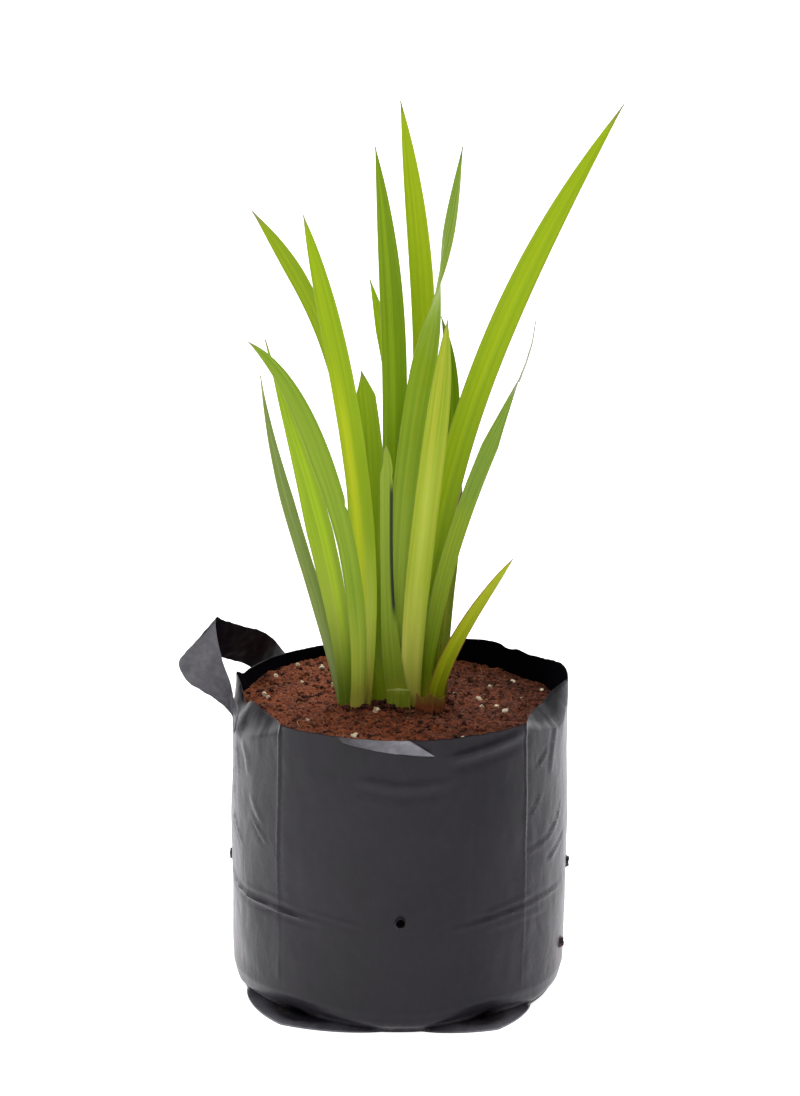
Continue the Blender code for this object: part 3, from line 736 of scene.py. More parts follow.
@dataclass(frozen=True)
class FilmFinish:
    """Thin black polythene: satin, with faint streaks from the roller and flecks of dirt, plus painted highlights and
    painted shade.
    """

    name: str = "black_film"
    deep: str = "#110d16"
    middle: str = "#1a151f"
    pale: str = "#322f36"
    # Flecks of dirt, which near the foot also serve as a painted highlight on the flat flaps.
    dust_and_foot_light: str = "#57504a"
    smear: str = "#7a4c3c"
    rough: float = 0.36
    # The pale grey of the painted highlights.
    painted_lighting: str = "#918f97"

    def material(self) -> bpy.types.Material:
        """Builds the film's material, with a painted highlight in crinkled patches where the mesh's painted_lighting
        attribute is above 0 and painted shade where it is below 0.
        """
        made = Recipe(self.name)
        place = made.coordinates()
        side, deep, height = made.split(place)
        rolled = made.grain(made.stretched(place, (260.0, 260.0, 16.0)), 1.0, 3.0, 0.6)
        cloudy = made.grain(made.stretched(place, (22.0, 22.0, 14.0)), 1.0, 4.0, 0.55)
        crinkled = made.grain(made.stretched(place, (150.0, 150.0, 240.0)), 1.0, 4.0, 0.65, 1.2)
        colour = made.blend(made.band(cloudy, 0.35, 0.7), paint(self.deep), paint(self.middle))
        colour = made.blend(made.sum("MULTIPLY", made.band(rolled, 0.5, 0.8), 0.05), colour, paint(self.pale))
        # Flecks of dirt all over, thicker below 8 mm, where they are also a painted highlight on the flaps of the foot.
        low = made.band(height, 0.001, 0.008, from_zero=False)
        flecks = made.band(made.grain(place, 180.0, 5.0, 0.7), 0.48, 0.72)
        dust_and_painted_light = made.sum("MULTIPLY", made.sum("ADD", 0.03, made.sum("MULTIPLY", low, 0.5)), flecks)
        colour = made.blend(dust_and_painted_light, colour, paint(self.dust_and_foot_light))
        corner = made.sum("MULTIPLY", made.band(made.sum("ABSOLUTE", side), 0.066, 0.078),
                          made.sum("MULTIPLY", made.band(height, 0.008, 0.018), made.band(height, 0.042, 0.024)))
        corner = made.sum("MULTIPLY", corner, made.band(made.sum("ABSOLUTE", made.sum("ADD", deep, 0.02)), 0.016, 0.005))
        colour = made.blend(made.sum("MULTIPLY", corner, made.sum("ADD", 0.06, made.sum("MULTIPLY", flecks, 0.35))),
                            colour, paint(self.smear))
        # Painted lighting from the mesh: a painted highlight above 0; painted shade below 0, darker and with less shine
        # and sheen.
        painted_lighting = made.attribute("painted_lighting")
        painted_highlight = made.sum("MULTIPLY", painted_lighting, made.sum("ADD", 0.35, made.sum("MULTIPLY", crinkled, 1.1)), clamp=True)
        colour = made.blend(painted_highlight, colour, paint(self.painted_lighting))
        painted_shade = made.band(painted_lighting, 0.0, -1.0)
        colour = made.blend(made.sum("MULTIPLY", painted_shade, 0.7), colour, paint("#060507"))
        shine = made.sum("SUBTRACT", 0.30, made.sum("MULTIPLY", made.band(side, -0.05, 0.05), 0.11))
        shine = made.sum("MULTIPLY", shine, made.sum("SUBTRACT", 1.0, painted_shade))
        gleam = made.sum("SUBTRACT", 0.36, made.sum("MULTIPLY", painted_shade, 0.35))
        rough = made.sum("ADD", self.rough, made.sum("MULTIPLY", made.sum("SUBTRACT", cloudy, 0.5), 0.25))
        satin = made.sum("MULTIPLY", made.grain(made.stretched(place, (60.0, 60.0, 38.0)), 1.0, 4.0, 0.6, 1.0),
                         made.sum("ADD", 0.35, made.band(made.sum("ABSOLUTE", side), 0.045, 0.065)))
        made.relief(made.sum("ADD", made.sum("MULTIPLY", rolled, 0.06),
                             made.sum("ADD", made.sum("MULTIPLY", crinkled, 0.55), made.sum("MULTIPLY", satin, 1.6))), 0.42, 0.42)
        return made.finish(Base_Color=colour, Roughness=rough, Specular_IOR_Level=shine, Sheen_Weight=gleam,
                           Sheen_Roughness=0.32, Sheen_Tint=paint("#e9e8f2"))


@dataclass(frozen=True)
class GrowBag:
    """The film bag: filled round, with an uneven rim, V pleats, fold lines, flat corners and drain holes."""

    radius: float = 82.6
    belly: float = 1.0
    sway: float = 1.3
    film: float = 0.4
    rim: float = 150.5
    rim_waves: tuple[tuple[float, float, float], ...] = (
        (55.0, 30.0, 3.5), (10.0, 34.0, 6.5), (172.0, 10.0, 4.5), (-173.0, 9.0, -5.0), (48.0, 5.0, -1.6))
    pleats: tuple[Pleat, ...] = (Pleat(-21.5, 21.0, 140.0, 9.5), Pleat(-160.0, 27.0, 133.0, 7.5))
    fold_angles: tuple[float, ...] = (-134.5, -43.5, 45.0, 135.0)
    corners: tuple[tuple[float, float], ...] = ((-130.0, 34.0), (-57.0, 24.0), (57.0, 24.0), (130.0, 34.0))
    foot_plain: tuple[tuple[float, float], ...] = ((78.0, 0.0), (78.0, 0.9), (78.6, 2.0), (80.5, 4.5))
    foot_folded: tuple[tuple[float, float], ...] = ((89.5, 0.0), (89.5, 0.9), (74.0, 1.8), (79.8, 7.0))
    foot_top: tuple[float, float] = (11.0, 14.0)
    lip_from: float = -112.0
    lip_to: float = -87.5
    lip_drop: float = 7.2
    lip_skew: float = 1.7
    lip_flare: float = 2.4
    holes: tuple[tuple[float, float], ...] = (
        (-90.0, 59.0), (-3.0, 61.0), (90.0, 59.0), (177.0, 62.0), (-14.0, 24.0), (166.0, 24.0))
    hole_radius: float = 2.4
    bunch: float = 4.5
    bunch_at: tuple[float, float] = (160.0, 34.0)
    creases: tuple[Crease, ...] = (
        Crease(((-179.0, 62.0), (-165.0, 57.8), (-154.0, 56.4), (-143.0, 56.2), (-130.0, 56.0), (-114.0, 54.6)), 1.0, 1.2),
        Crease(((-162.0, 59.8), (-144.2, 62.1), (-133.8, 61.5), (-125.0, 60.6)), 0.45, 0.9),
        Crease(((-124.0, 59.4), (-109.4, 57.4), (-100.0, 55.0)), 0.45, 0.8),
        Crease(((-16.0, 57.4), (-23.4, 57.7), (-33.8, 58.0), (-42.9, 57.1), (-53.5, 56.4), (-62.5, 54.7), (-75.0, 53.6)),
               0.6, 1.1),
        Crease(((-38.0, 63.4), (-43.1, 62.6), (-54.4, 60.4), (-62.0, 58.4)), 0.35, 1.0),
        Crease(((-60.0, 50.5), (-45.0, 52.0), (-30.0, 51.0)), 0.3, 1.3),
        Crease(((-159.0, 134.0), (-154.4, 126.3), (-152.8, 117.3)), 0.5, 2.2),
        Crease(((-151.0, 110.0), (-148.0, 104.0), (-142.5, 97.0)), 0.45, 2.0),
        Crease(((-166.0, 130.0), (-163.0, 122.0), (-162.5, 112.0)), 0.5, 1.6),
        Crease(((-169.0, 93.0), (-163.0, 86.0), (-157.5, 81.0)), 0.6, 1.1),
        Crease(((-150.0, 99.0), (-145.0, 93.0), (-140.4, 88.2)), 0.6, 1.0),
        Crease(((-172.0, 118.0), (-168.0, 104.0), (-167.0, 96.0)), 0.5, 1.0),
        Crease(((-23.2, 148.7), (-24.0, 140.3), (-26.8, 129.7), (-28.4, 116.7)), 0.5, 1.9),
        Crease(((-29.0, 133.2), (-33.5, 128.5), (-38.0, 124.7)), 0.5, 1.0),
        Crease(((-33.3, 114.2), (-37.8, 106.5), (-41.4, 101.0)), 0.4, 1.0),
        Crease(((-17.6, 103.9), (-22.3, 93.3), (-30.0, 86.7), (-36.9, 85.1), (-44.1, 84.0)), 0.5, 1.2),
        Crease(((-14.6, 82.8), (-23.4, 78.0), (-31.3, 74.2)), 0.5, 1.2),
        Crease(((-76.0, 139.6), (-66.7, 141.2), (-55.4, 143.6), (-40.8, 147.0)), 0.9, 2.6),
        Crease(((-106.0, 130.0), (-97.0, 128.4), (-90.0, 126.4), (-80.0, 127.4), (-72.0, 128.4)), 0.5, 2.4),
    )
    back_creases: int = 9
    back_seed: int = 5
    columns: int = 300
    wall_rows: int = 104
    lip_rows: int = 7
    inner_rows: int = 21

    def rim_height(self, angle: float) -> float:
        """Returns the height of the film's upper edge."""
        fine = 0.5 * noise.noise(Vector((angle / 7.0, 3.0, 0.0))) + 0.25 * noise.noise(Vector((angle / 2.0, 9.0, 0.0)))
        torn = hill(angle, -176.0, 14.0)
        fine += torn * 1.6 * noise.noise(Vector((angle / 2.3, 20.0, 0.0)))
        return self.rim + fine + sum(rise * hill(angle, centre, spread) for centre, spread, rise in self.rim_waves)

    def body_radius(self, angle: float, height: float, top: float) -> float:
        """Returns the outer radius of the filled film, with its pleats but without its small folds."""
        radius = self.radius + self.belly * math.sin(math.pi * min(height, self.rim) / self.rim)
        return radius - sum(pleat.inwards(angle, height, top) for pleat in self.pleats)

    def inner_radius(self, angle: float, height: float, top: float) -> float:
        """Returns the film's inner radius above the fill, bunched inwards at the left back."""
        bunched = self.bunch * hill(angle, *self.bunch_at) * smooth((top - height) / 9.0)
        return self.body_radius(angle, height, top) - self.film - bunched

    def column_angles(self) -> list[float]:
        """Returns the columns' angles from 0 round to 360, closer together at the upright folds."""
        near = [fold + step for fold in self.fold_angles for step in (-1.6, -1.1, -0.7, -0.35, 0, 0.35, 0.7, 1.1, 1.6)]
        even = [column * 360 / self.columns - 180 for column in range(self.columns)]
        even = [angle for angle in even if min(angle_between(angle, fold) for fold in self.fold_angles) > 2.0]
        return [(angle + 180) % 360 - 180 for angle in sorted(angle % 360 for angle in (*even, *near))]

    def fine_relief(self, angles: np.ndarray, heights: np.ndarray) -> np.ndarray:
        """Works out how far the film's folds stand out from its filled form.

        Args:
            angles: The points' angles.
            heights: The points' heights.

        Returns:
            Millimetres outwards for each point.
        """
        out = np.zeros_like(angles)
        sharp = 0.22 + 0.78 * np.clip((heights - 60.0) / 60.0, 0, 1)
        for fold in self.fold_angles:
            off = ((angles - fold + 180) % 360 - 180) * math.radians(1) * self.radius
            out += sharp * (0.45 * np.exp(-((off / 0.75) ** 2)) - 0.28 * np.exp(-(((off - 1.9) / 1.1) ** 2)))
            out += 0.3 * np.exp(-((off / 6.0) ** 2))
        for crease in (*self.creases, *self.wrinkles_behind()):
            out += self.crease_relief(crease, angles, heights)
        flat = np.stack([angles.ravel(), heights.ravel()], 1)
        waves = np.empty(len(flat))
        for index, (angle, height) in enumerate(flat):
            turn = math.radians(angle)
            x, y = math.cos(turn) * 3.0, math.sin(turn) * 3.0
            waves[index] = 0.75 * noise.noise(Vector((x, y, height / 34.0)))
            waves[index] += 0.2 * noise.noise(Vector((x * 4.0, y * 4.0, height / 15.0 + 7.0)))
            waves[index] += 0.14 * noise.noise(Vector((x * 11.0, y * 11.0, height / 9.0 + 3.0)))
        return out + waves.reshape(out.shape)

    def wrinkles_behind(self) -> list[Crease]:
        """Draws the creases of the side that the photo doesn't show."""
        draw = np.random.default_rng(self.back_seed)
        made = []
        for _ in range(self.back_creases):
            angle, height = draw.uniform(35, 150), draw.uniform(35, 135)
            run, rise = draw.uniform(10, 26), draw.uniform(-9, 9)
            sag = draw.uniform(-2.5, 2.5)
            path = ((angle - run / 2, height - rise / 2), (angle, height + sag), (angle + run / 2, height + rise / 2))
            made.append(Crease(path, draw.uniform(0.3, 0.7), draw.uniform(0.9, 2.0)))
        return made

    def crease_relief(self, crease: Crease, angles: np.ndarray, heights: np.ndarray) -> np.ndarray:
        """Returns how far one crease stands out at each point."""
        best = np.full(angles.shape, 1e9)
        side = np.zeros_like(angles)
        fade = np.zeros_like(angles)
        centre = crease.path[len(crease.path) // 2][0]
        scale = math.radians(1) * self.radius
        across = ((angles - centre + 180) % 360 - 180) * scale
        points = [(((angle - centre + 180) % 360 - 180) * scale, height) for angle, height in crease.path]
        count = len(points) - 1
        for number in range(count):
            (x0, z0), (x1, z1) = points[number], points[number + 1]
            run, rise = x1 - x0, z1 - z0
            length = math.hypot(run, rise)
            along = np.clip(((across - x0) * run + (heights - z0) * rise) / length**2, 0, 1)
            dx, dz = across - (x0 + along * run), heights - (z0 + along * rise)
            away = np.hypot(dx, dz)
            nearer = away < best
            best = np.where(nearer, away, best)
            side = np.where(nearer, np.sign(run * dz - rise * dx) * away, side)
            share = (number + along) / count
            fade = np.where(nearer, np.clip(np.minimum(share, 1 - share) * 5, 0, 1), fade)
        ridge = np.exp(-((side / crease.width) ** 2))
        groove = 0.6 * np.exp(-(((side + 1.7 * crease.width) / (1.2 * crease.width)) ** 2))
        return crease.height * fade * (ridge - groove)

    def sheltered(self, angles: np.ndarray, heights: np.ndarray) -> np.ndarray:
        """Returns how far each point lies in a pleat, from 0 to 1, where less light reaches the film."""
        inside = np.zeros_like(angles)
        for place in np.ndindex(angles.shape):
            for pleat in self.pleats:
                lean = pleat.inwards(float(angles[place]), float(heights[place]), self.rim_height(float(angles[place])))
                inside[place] = max(inside[place], smooth(lean / (0.5 * pleat.depth)))
        return inside

    def foot_rows(self, angle: float, top: float) -> list[tuple[float, float]]:
        """Returns radius and height of the rows that round the foot, from the surface up to the wall."""
        share = max(peak(angle, centre, spread) for centre, spread in self.corners) ** 0.8
        if self.corners[0][0] < angle < -90:
            share *= mix(1.0, 0.72, (angle - self.corners[0][0]) / (-90 - self.corners[0][0]))
        rows = [(mix(flat[0], fold[0], share), mix(flat[1], fold[1], share))
                for flat, fold in zip(self.foot_plain, self.foot_folded)]
        wall = mix(*self.foot_top, share)
        rows.append((self.body_radius(angle, wall, top), wall))
        fine = rows[:3]
        for low, high in ((2, 3), (3, 4)):
            for part in (0.25, 0.5, 0.75, 1.0):
                fine.append((mix(rows[low][0], rows[high][0], part), mix(rows[low][1], rows[high][1], part)))
        bulge = math.sin(math.pi * 0.5) * 0.6
        for index, part in ((4, 0.8), (5, 1.0), (6, 1.0), (7, 0.9), (8, 0.6)):
            fine[index] = (fine[index][0] + bulge * part * (1 - share), fine[index][1])
        return fine

    def column_rows(self, angle: float) -> list[tuple[float, float, float, float]]:
        """Lists one column of the shell, from the middle of the floor outside to the middle of the floor inside.

        Args:
            angle: The column's angle.

        Returns:
            For each row its radius, height, turn away from the column's angle and share of the relief.
        """
        top = self.rim_height(angle)
        rows = [(radius, 0.0, 0.0, 0.0) for radius in (0.0, 25.0, 45.0, 62.0, 72.0)]
        rows += [(radius, height, 0.0, 0.0) for radius, height in self.foot_rows(angle, top)]
        start = rows[-1][1]
        for number in range(1, self.wall_rows + 1):
            height = mix(start, top - 0.5, number / self.wall_rows)
            rows.append((self.body_radius(angle, height, top), height, 0.0, smooth((height - start) / 9.0)))
        edge = self.body_radius(angle, top, top)
        folded = smooth((angle - self.lip_from) / 3.0) if self.lip_from < angle < self.lip_to else 0.0
        along = min(max((angle - self.lip_from) / (self.lip_to - self.lip_from), 0.0), 1.0)
        drop = self.lip_drop * along**0.85 * folded
        for inner in (True, False):
            for number in range(self.lip_rows):
                share = number / (self.lip_rows - 1)
                share = share if inner else 1 - share
                hang = drop * share
                out = (0.25 + (0.0 if inner else self.film)) * max(folded, 0.05) + self.lip_flare * folded * share**1.4
                skew = math.degrees(self.lip_skew * hang * along**2 / self.radius)
                lift = (0.05 if inner else 0.35) * max(folded, 0.1)
                rows.append((edge + out, top - 0.45 + lift - hang, skew, 1.0 if inner else 1.0 + folded))
        rows.append((edge - self.film * 0.3, top, 0.0, 1.0))
        rows.append((edge - self.film, top - 0.3, 0.0, 1.0))
        for number in range(1, 13):
            height = mix(top - 0.5, 136.0, number / 12)
            rows.append((self.inner_radius(angle, height, top), height, 0.0, 1.0))
        for height in (120.0, 90.0, 58.0, 30.0):
            rows.append((self.body_radius(angle, height, top) - 1.0, height, 0.0, 0.3))
        rows += [(77.0, 12.0, 0.0, 0.0), (70.0, 3.0, 0.0, 0.0), (40.0, 1.0, 0.0, 0.0), (0.0, 1.0, 0.0, 0.0)]
        return rows

    def build(self) -> bpy.types.Object:
        """Builds the bag with its drain holes punched through."""
        columns = [[(*row, angle) for row in self.column_rows(angle)] for angle in self.column_angles()]
        table = np.array(columns).transpose(1, 0, 2)
        radius, height, skew, share, angle = (table[..., index] for index in range(5))
        # Painted lighting kept on the mesh: a painted highlight on the outer face of the folded lip, and painted shade
        # in the pleats and on the whole inner wall above the fill.
        painted_lighting = np.clip(share - 1, 0, 1) * np.clip(0.15 + (angle - self.lip_from) / 28.0, 0, 1)
        painted_lighting -= np.where(angle > -90, 0.68, 0.5) * self.sheltered(angle, height) * (share <= 1)
        painted_lighting[-self.inner_rows:] = -1.0
        # At the flat corners of the foot: a painted highlight on the top of the outer flap, and painted shade in the
        # recess between flap and wall.
        flap = np.array([max(peak(turn, *corner) for corner in self.corners) for turn in angle[0]])
        shade = np.clip(2.2 * flap - 1.1, 0, 1)
        painted_lighting[5:7] = 0.8 * flap
        painted_lighting[7] = 0.5 * flap * (1 - shade) - shade
        painted_lighting[8:13] = -shade * np.array((1.0, 1.0, 0.9, 0.6, 0.2))[:, None]
        radius = radius + self.fine_relief(angle, height) * np.minimum(share, 1)
        turn = np.radians(angle + skew)
        sway = -self.sway * (1 - height / self.rim)
        rings = np.stack([np.cos(turn) * radius + sway, np.sin(turn) * radius, height], -1)
        made = turned_shell(rings, painted_lighting)
        self.punch(made)
        soften(made, 45)
        film = FilmFinish().material()
        self.build_burrs(film)
        return keep(made, "bag_film", film, ("grow_bag",))

    def build_burrs(self, film: bpy.types.Material) -> bpy.types.Object:
        """Builds the burrs of all the drain holes as one piece."""
        burrs = []
        for number, (angle, height) in enumerate(self.holes):
            turn = math.radians(angle)
            wall = self.radius + self.belly * math.sin(math.pi * height / self.rim)
            wall += float(self.fine_relief(np.array([angle]), np.array([height]))[0])
            burrs.append(HoleBurr().build(number, angle, height, wall - self.sway * (1 - height / self.rim) * math.cos(turn)))
        made = join(burrs)
        soften(made, 60)
        return keep(made, "hole_burrs", film)

    def punch(self, made: bpy.types.Object) -> None:
        """Cuts the drain holes through the film."""
        punches = []
        for angle, height in self.holes:
            turn = math.radians(angle)
            bpy.ops.object.select_all(action="DESELECT")
            bpy.ops.mesh.primitive_cylinder_add(
                vertices=18, radius=self.hole_radius * MM, depth=12 * MM, rotation=(0.0, math.radians(90), turn),
                location=(math.cos(turn) * self.radius * MM, math.sin(turn) * self.radius * MM, height * MM))
            punches.append(bpy.context.object)
        cutter = join(punches)
        activate(made)
        bpy.ops.object.modifier_add(type="BOOLEAN")
        cut = made.modifiers[-1]
        cut.operation = "DIFFERENCE"
        cut.solver = "FAST"
        cut.object = cutter
        bpy.ops.object.modifier_apply(modifier=cut.name)
        bpy.data.objects.remove(cutter)


@dataclass(frozen=True)
class HoleBurr:
    """The stretched, ragged ring of film that a punch leaves round a drain hole."""

    radius: float = 2.5
    reach: float = 1.1
    lift: float = 1.2

    def build(self, number: int, angle: float, height: float, wall: float) -> bpy.types.Object:
        """Builds one burr lying on the wall.

        Args:
            number: The hole's number, which seeds the raggedness.
            angle: The hole's angle.
            height: The hole's height.
            wall: The wall's radius there.

        Returns:
            The burr, without a material.
        """
        turn = math.radians(angle)
        outwards = Vector((math.cos(turn), math.sin(turn), 0.0))
        sideways = Vector((-math.sin(turn), math.cos(turn), 0.0))

        def place(share: float, across: float) -> Vector:
            spin = math.tau * share
            ragged = 1 + 0.5 * noise.noise(Vector((math.cos(spin) * 1.7, math.sin(spin) * 1.7, number * 5.0)))
            span = self.radius + self.reach * ragged * (across + 1) / 2 - 0.35
            out = wall + self.lift * ragged * math.exp(-(((across + 0.55) / 0.5) ** 2)) + 0.12
            return outwards * out + sideways * math.cos(spin) * span + Vector((0, 0, height + math.sin(spin) * span))

        made = bent_grid(32, 5, place)
        activate(made)
        bpy.ops.object.mode_set(mode="EDIT")
        bpy.ops.mesh.select_all(action="SELECT")
        bpy.ops.mesh.remove_doubles(threshold=0.00001)
        bpy.ops.mesh.normals_make_consistent(inside=False)
        bpy.ops.object.mode_set(mode="OBJECT")
        thicken(made, 0.3, 0.0)
        return made


@dataclass(frozen=True)
class RimStrip:
    """The strip of film torn off along the rim, folded back on itself as a standing loop."""

    lower: tuple[Point, ...] = (
        (-81.2, -25.5, 135.0), (-83.0, -17.0, 142.0), (-92.5, -17.5, 151.4), (-104.5, -15.0, 158.5),
        (-109.0, -4.0, 166.0), (-99.0, 3.0, 169.0), (-88.0, 17.0, 160.5), (-78.5, 33.0, 152.5), (-68.0, 54.0, 138.5))
    upper: tuple[Point, ...] = (
        (-79.2, -21.5, 146.5), (-82.4, -12.0, 150.0), (-83.7, -11.5, 157.0), (-88.0, -8.0, 169.0),
        (-91.5, 3.5, 184.5), (-86.0, 9.0, 182.0), (-78.0, 22.0, 175.5), (-67.0, 41.5, 165.5), (-59.0, 64.0, 148.5))
    thickness: float = 0.45
    rows: int = 160
    columns: int = 20

    @staticmethod
    def through(points: Sequence[Point], share: float) -> Vector:
        """Returns the place at a share of a smooth curve through all the points."""
        last = len(points) - 1
        index = min(int(share * last), last - 1)
        near = share * last - index
        before, start, end, after = (Vector(points[min(max(index + step, 0), last)]) for step in (-1, 0, 1, 2))
        first, second = (end - before) / 2, (after - start) / 2
        return ((2 * near**3 - 3 * near**2 + 1) * start + (near**3 - 2 * near**2 + near) * first
                + (3 * near**2 - 2 * near**3) * end + (near**3 - near**2) * second)

    def place(self, share: float, across: float) -> Vector:
        """Returns the place of the strip's point at share along it and across from -1 to 1."""
        low, high = self.through(self.lower, share), self.through(self.upper, share)
        ahead = self.through(self.lower, min(share + 0.01, 1.0)) - self.through(self.lower, max(share - 0.01, 0.0))
        out = ahead.cross(high - low).normalized()
        dent = 0.9 * noise.noise(Vector((share * 9.0, across * 1.2, 4.0)))
        dent += 0.4 * noise.noise(Vector((share * 24.0, across * 2.5, 8.0)))
        fray = 0.5 * noise.noise(Vector((share * 30.0, 11.0 * across, 1.0))) * abs(across)
        return low.lerp(high, (across + 1) / 2) + out * dent * (1 - 0.3 * across * across) + Vector((0, 0, fray))

    def build(self) -> bpy.types.Object:
        """Builds the strip."""
        made = bent_grid(self.rows, self.columns, self.place)
        # A painted highlight on the strip's front half and painted shade on its back half, kept as the mesh's
        # painted_lighting attribute.
        painted_lighting = made.data.attributes.new("painted_lighting", "FLOAT", "POINT")
        for index in range(len(made.data.vertices)):
            share = index // (self.columns + 1) / self.rows
            painted_lighting.data[index].value = mix(0.46, -0.7, smooth((share - 0.475) / 0.05))
        thicken(made, self.thickness, 0.0)
        soften(made, 50)
        return keep(made, "rim_strip_film", FilmFinish("strip_film").material(), ("torn_rim_strip",))


@dataclass(frozen=True)
class Ground:
    """The soil's surface: highest at the left, lowest at the right, hollow before the plant, and crumbly."""

    at_wall: float = 142.5
    tilt: float = 2.5
    dip: float = 1.5
    dip_angle: float = 38.0
    dip_spread: float = 75.0
    hollow: float = 2.4
    hollow_at: tuple[float, float] = (13.0, -14.0)
    hollow_spread: float = 27.0
    radius: float = 82.6
    crumb: float = 1.3
    spacing: float = 11.0

    def height(self, x: float, y: float) -> float:
        """Returns the surface's height without its crumbs."""
        share = min(math.hypot(x, y) / self.radius, 1.0)
        level = self.at_wall - self.tilt * x / self.radius
        level -= self.dip * smooth(share) * hill(math.degrees(math.atan2(y, x)), self.dip_angle, self.dip_spread)
        away = math.hypot(x - self.hollow_at[0], y - self.hollow_at[1])
        level -= self.hollow * smooth(1 - away / self.hollow_spread)
        return level + self.crumb * noise.noise(Vector((x, y, 7.0)) / self.spacing)

    def crumbs(self, x: float, y: float) -> float:
        """Returns how far crumbs and clods stand above the surface."""
        place = Vector((x, y, 0.0))
        lumps = 0.0
        for size, rise in ((6.0, 0.7), (3.0, 0.8), (1.7, 0.75)):
            away = noise.voronoi(place / size)[0][0]
            lumps += rise * math.sqrt(max(0.0, 1 - (away / 0.7) ** 2))
        return 0.1 + lumps * (0.8 + 0.5 * noise.noise(place / 7.0))

    def top(self, x: float, y: float) -> float:
        """Returns the height of the crumbly surface."""
        return self.height(x, y) + self.crumbs(x, y)


@dataclass(frozen=True)
class SoilFinish:
    """Moist reddish cocopeat."""

    name: str
    dark: str = "#1c0b06"
    deep: str = "#4c2210"
    middle: str = "#823d20"
    light: str = "#aa5c38"
    pale: str = "#cc8e64"
    shift: float = 0.0
    rise: str = ""
    # The tone of the painted light on the left side.
    left_light_tone: str = "#9c5a3e"

    def material(self) -> bpy.types.Material:
        """Builds the soil's material, with painted shade in its hollows and towards its right side and painted light on
        its left side.
        """
        made = Recipe(self.name)
        place = made.stretched(made.coordinates(), (1.0, 1.0, 1.0), (self.shift, self.shift, 0.0))
        crumbs = made.cells(place, 520.0)
        fine = made.grain(place, 900.0, 4.0, 0.7)
        broad = made.grain(place, 60.0, 4.0, 0.6)
        tone = made.sum("ADD", made.sum("MULTIPLY", fine, 0.65), made.sum("MULTIPLY", broad, 0.35))
        colour = made.ramp(tone, ((0.28, self.dark), (0.40, self.deep), (0.51, self.middle), (0.63, self.light),
                                  (0.76, self.pale)))
        # Painted shade in the small hollows between crumbs.
        pits = made.sum("MULTIPLY", made.band(crumbs, 0.45, 0.75), 0.6)
        colour = made.blend(pits, colour, paint(self.dark))
        # Painted shade in the crust's hollows and a painted highlight on its highest crumbs, from the crumbs' heights
        # kept on the mesh.
        if self.rise:
            raised = made.attribute(self.rise)
            colour = made.blend(made.sum("MULTIPLY", made.band(raised, 0.75, 0.25), 0.85), colour, paint(self.dark))
            crest = made.sum("MULTIPLY", made.band(raised, 1.0, 1.9), made.band(fine, 0.4, 0.65))
            colour = made.blend(made.sum("MULTIPLY", crest, 0.55), colour, paint(self.light))
        # Painted light on the left side, at lower X, and painted shade towards the right side.
        side = made.split(place)[0]
        lit = made.sum("MULTIPLY", made.band(side, 0.01, -0.05), made.band(fine, 0.38, 0.62))
        colour = made.blend(made.sum("MULTIPLY", lit, 0.55), colour, paint(self.left_light_tone))
        colour = made.blend(made.sum("MULTIPLY", made.band(side, -0.02, 0.06), 0.42), colour, paint(self.dark))
        made.relief(made.sum("SUBTRACT", fine, crumbs), 0.9, 1.1)
        return made.finish(Base_Color=colour, Roughness=0.93, Specular_IOR_Level=0.25)


@dataclass(frozen=True)
class SoilCrust:
    """The loose, crumbly layer that covers the fill."""

    ground: Ground
    bag: GrowBag
    depth: float = 1.6
    cells: int = 176
    # A hole in the soil, given as painted shade: the crumbs' heights kept on the mesh are lowered there, which the
    # material paints dark.
    pit: Point = (18.5, -13.0, 6.0)

    def place(self, along: float, across: float) -> Vector:
        """Returns the crust's point for a place in a square that is drawn out to a disc."""
        u, v = across, along * 2 - 1
        x, y = u * math.sqrt(1 - v * v / 2), v * math.sqrt(1 - u * u / 2)
        angle = math.degrees(math.atan2(y, x))
        reach = min(math.hypot(x, y), 1.0)
        edge_x, edge_y = math.cos(math.radians(angle)) * 80.0, math.sin(math.radians(angle)) * 80.0
        level = self.ground.height(edge_x, edge_y)
        wall = self.bag.inner_radius(angle, level, self.bag.rim_height(angle)) - 0.5
        x, y = math.cos(math.radians(angle)) * reach * wall, math.sin(math.radians(angle)) * reach * wall
        rounded = 1 - smooth((reach - 0.975) / 0.025)
        return Vector((x, y, self.ground.height(x, y) + self.ground.crumbs(x, y) * (0.25 + 0.75 * rounded)))

    def build(self) -> bpy.types.Object:
        """Builds the crust."""
        made = bent_grid(self.cells, self.cells, self.place)
        rise = made.data.attributes.new("crumb_rise", "FLOAT", "POINT")
        for vertex in made.data.vertices:
            x, y, _ = vertex.co / MM
            # Painted shade for the pit: the kept heights are lowered there so that the material paints it dark.
            pit = 3.0 * smooth(1 - math.hypot(x - self.pit[0], y - self.pit[1]) / self.pit[2])
            rise.data[vertex.index].value = self.ground.crumbs(x, y) - pit
        thicken(made, self.depth, -1.0)
        soften(made, 75)
        return keep(made, "soil_crust", SoilFinish("cocopeat", rise="crumb_rise").material())


def grain_stone(subdivisions: int, seed: float, rough: float) -> bpy.types.Object:
    """Models one rough grain, 1 mm in radius.

    Args:
        subdivisions: How fine the starting ball is.
        seed: Shifts its lumps.
        rough: How far its lumps stand out, as a share of the radius.

    Returns:
        The grain.
    """
    bpy.ops.object.select_all(action="DESELECT")
    bpy.ops.mesh.primitive_ico_sphere_add(subdivisions=subdivisions, radius=1.0)
    made = bpy.context.object
    for vertex in made.data.vertices:
        way = vertex.co.normalized()
        swell = 1 + rough * noise.noise(way * 1.3 + Vector((seed, 0, 0))) + rough * 0.5 * noise.noise(way * 3.1 + Vector((0, seed, 0)))
        vertex.co = way * swell * MM
    return made


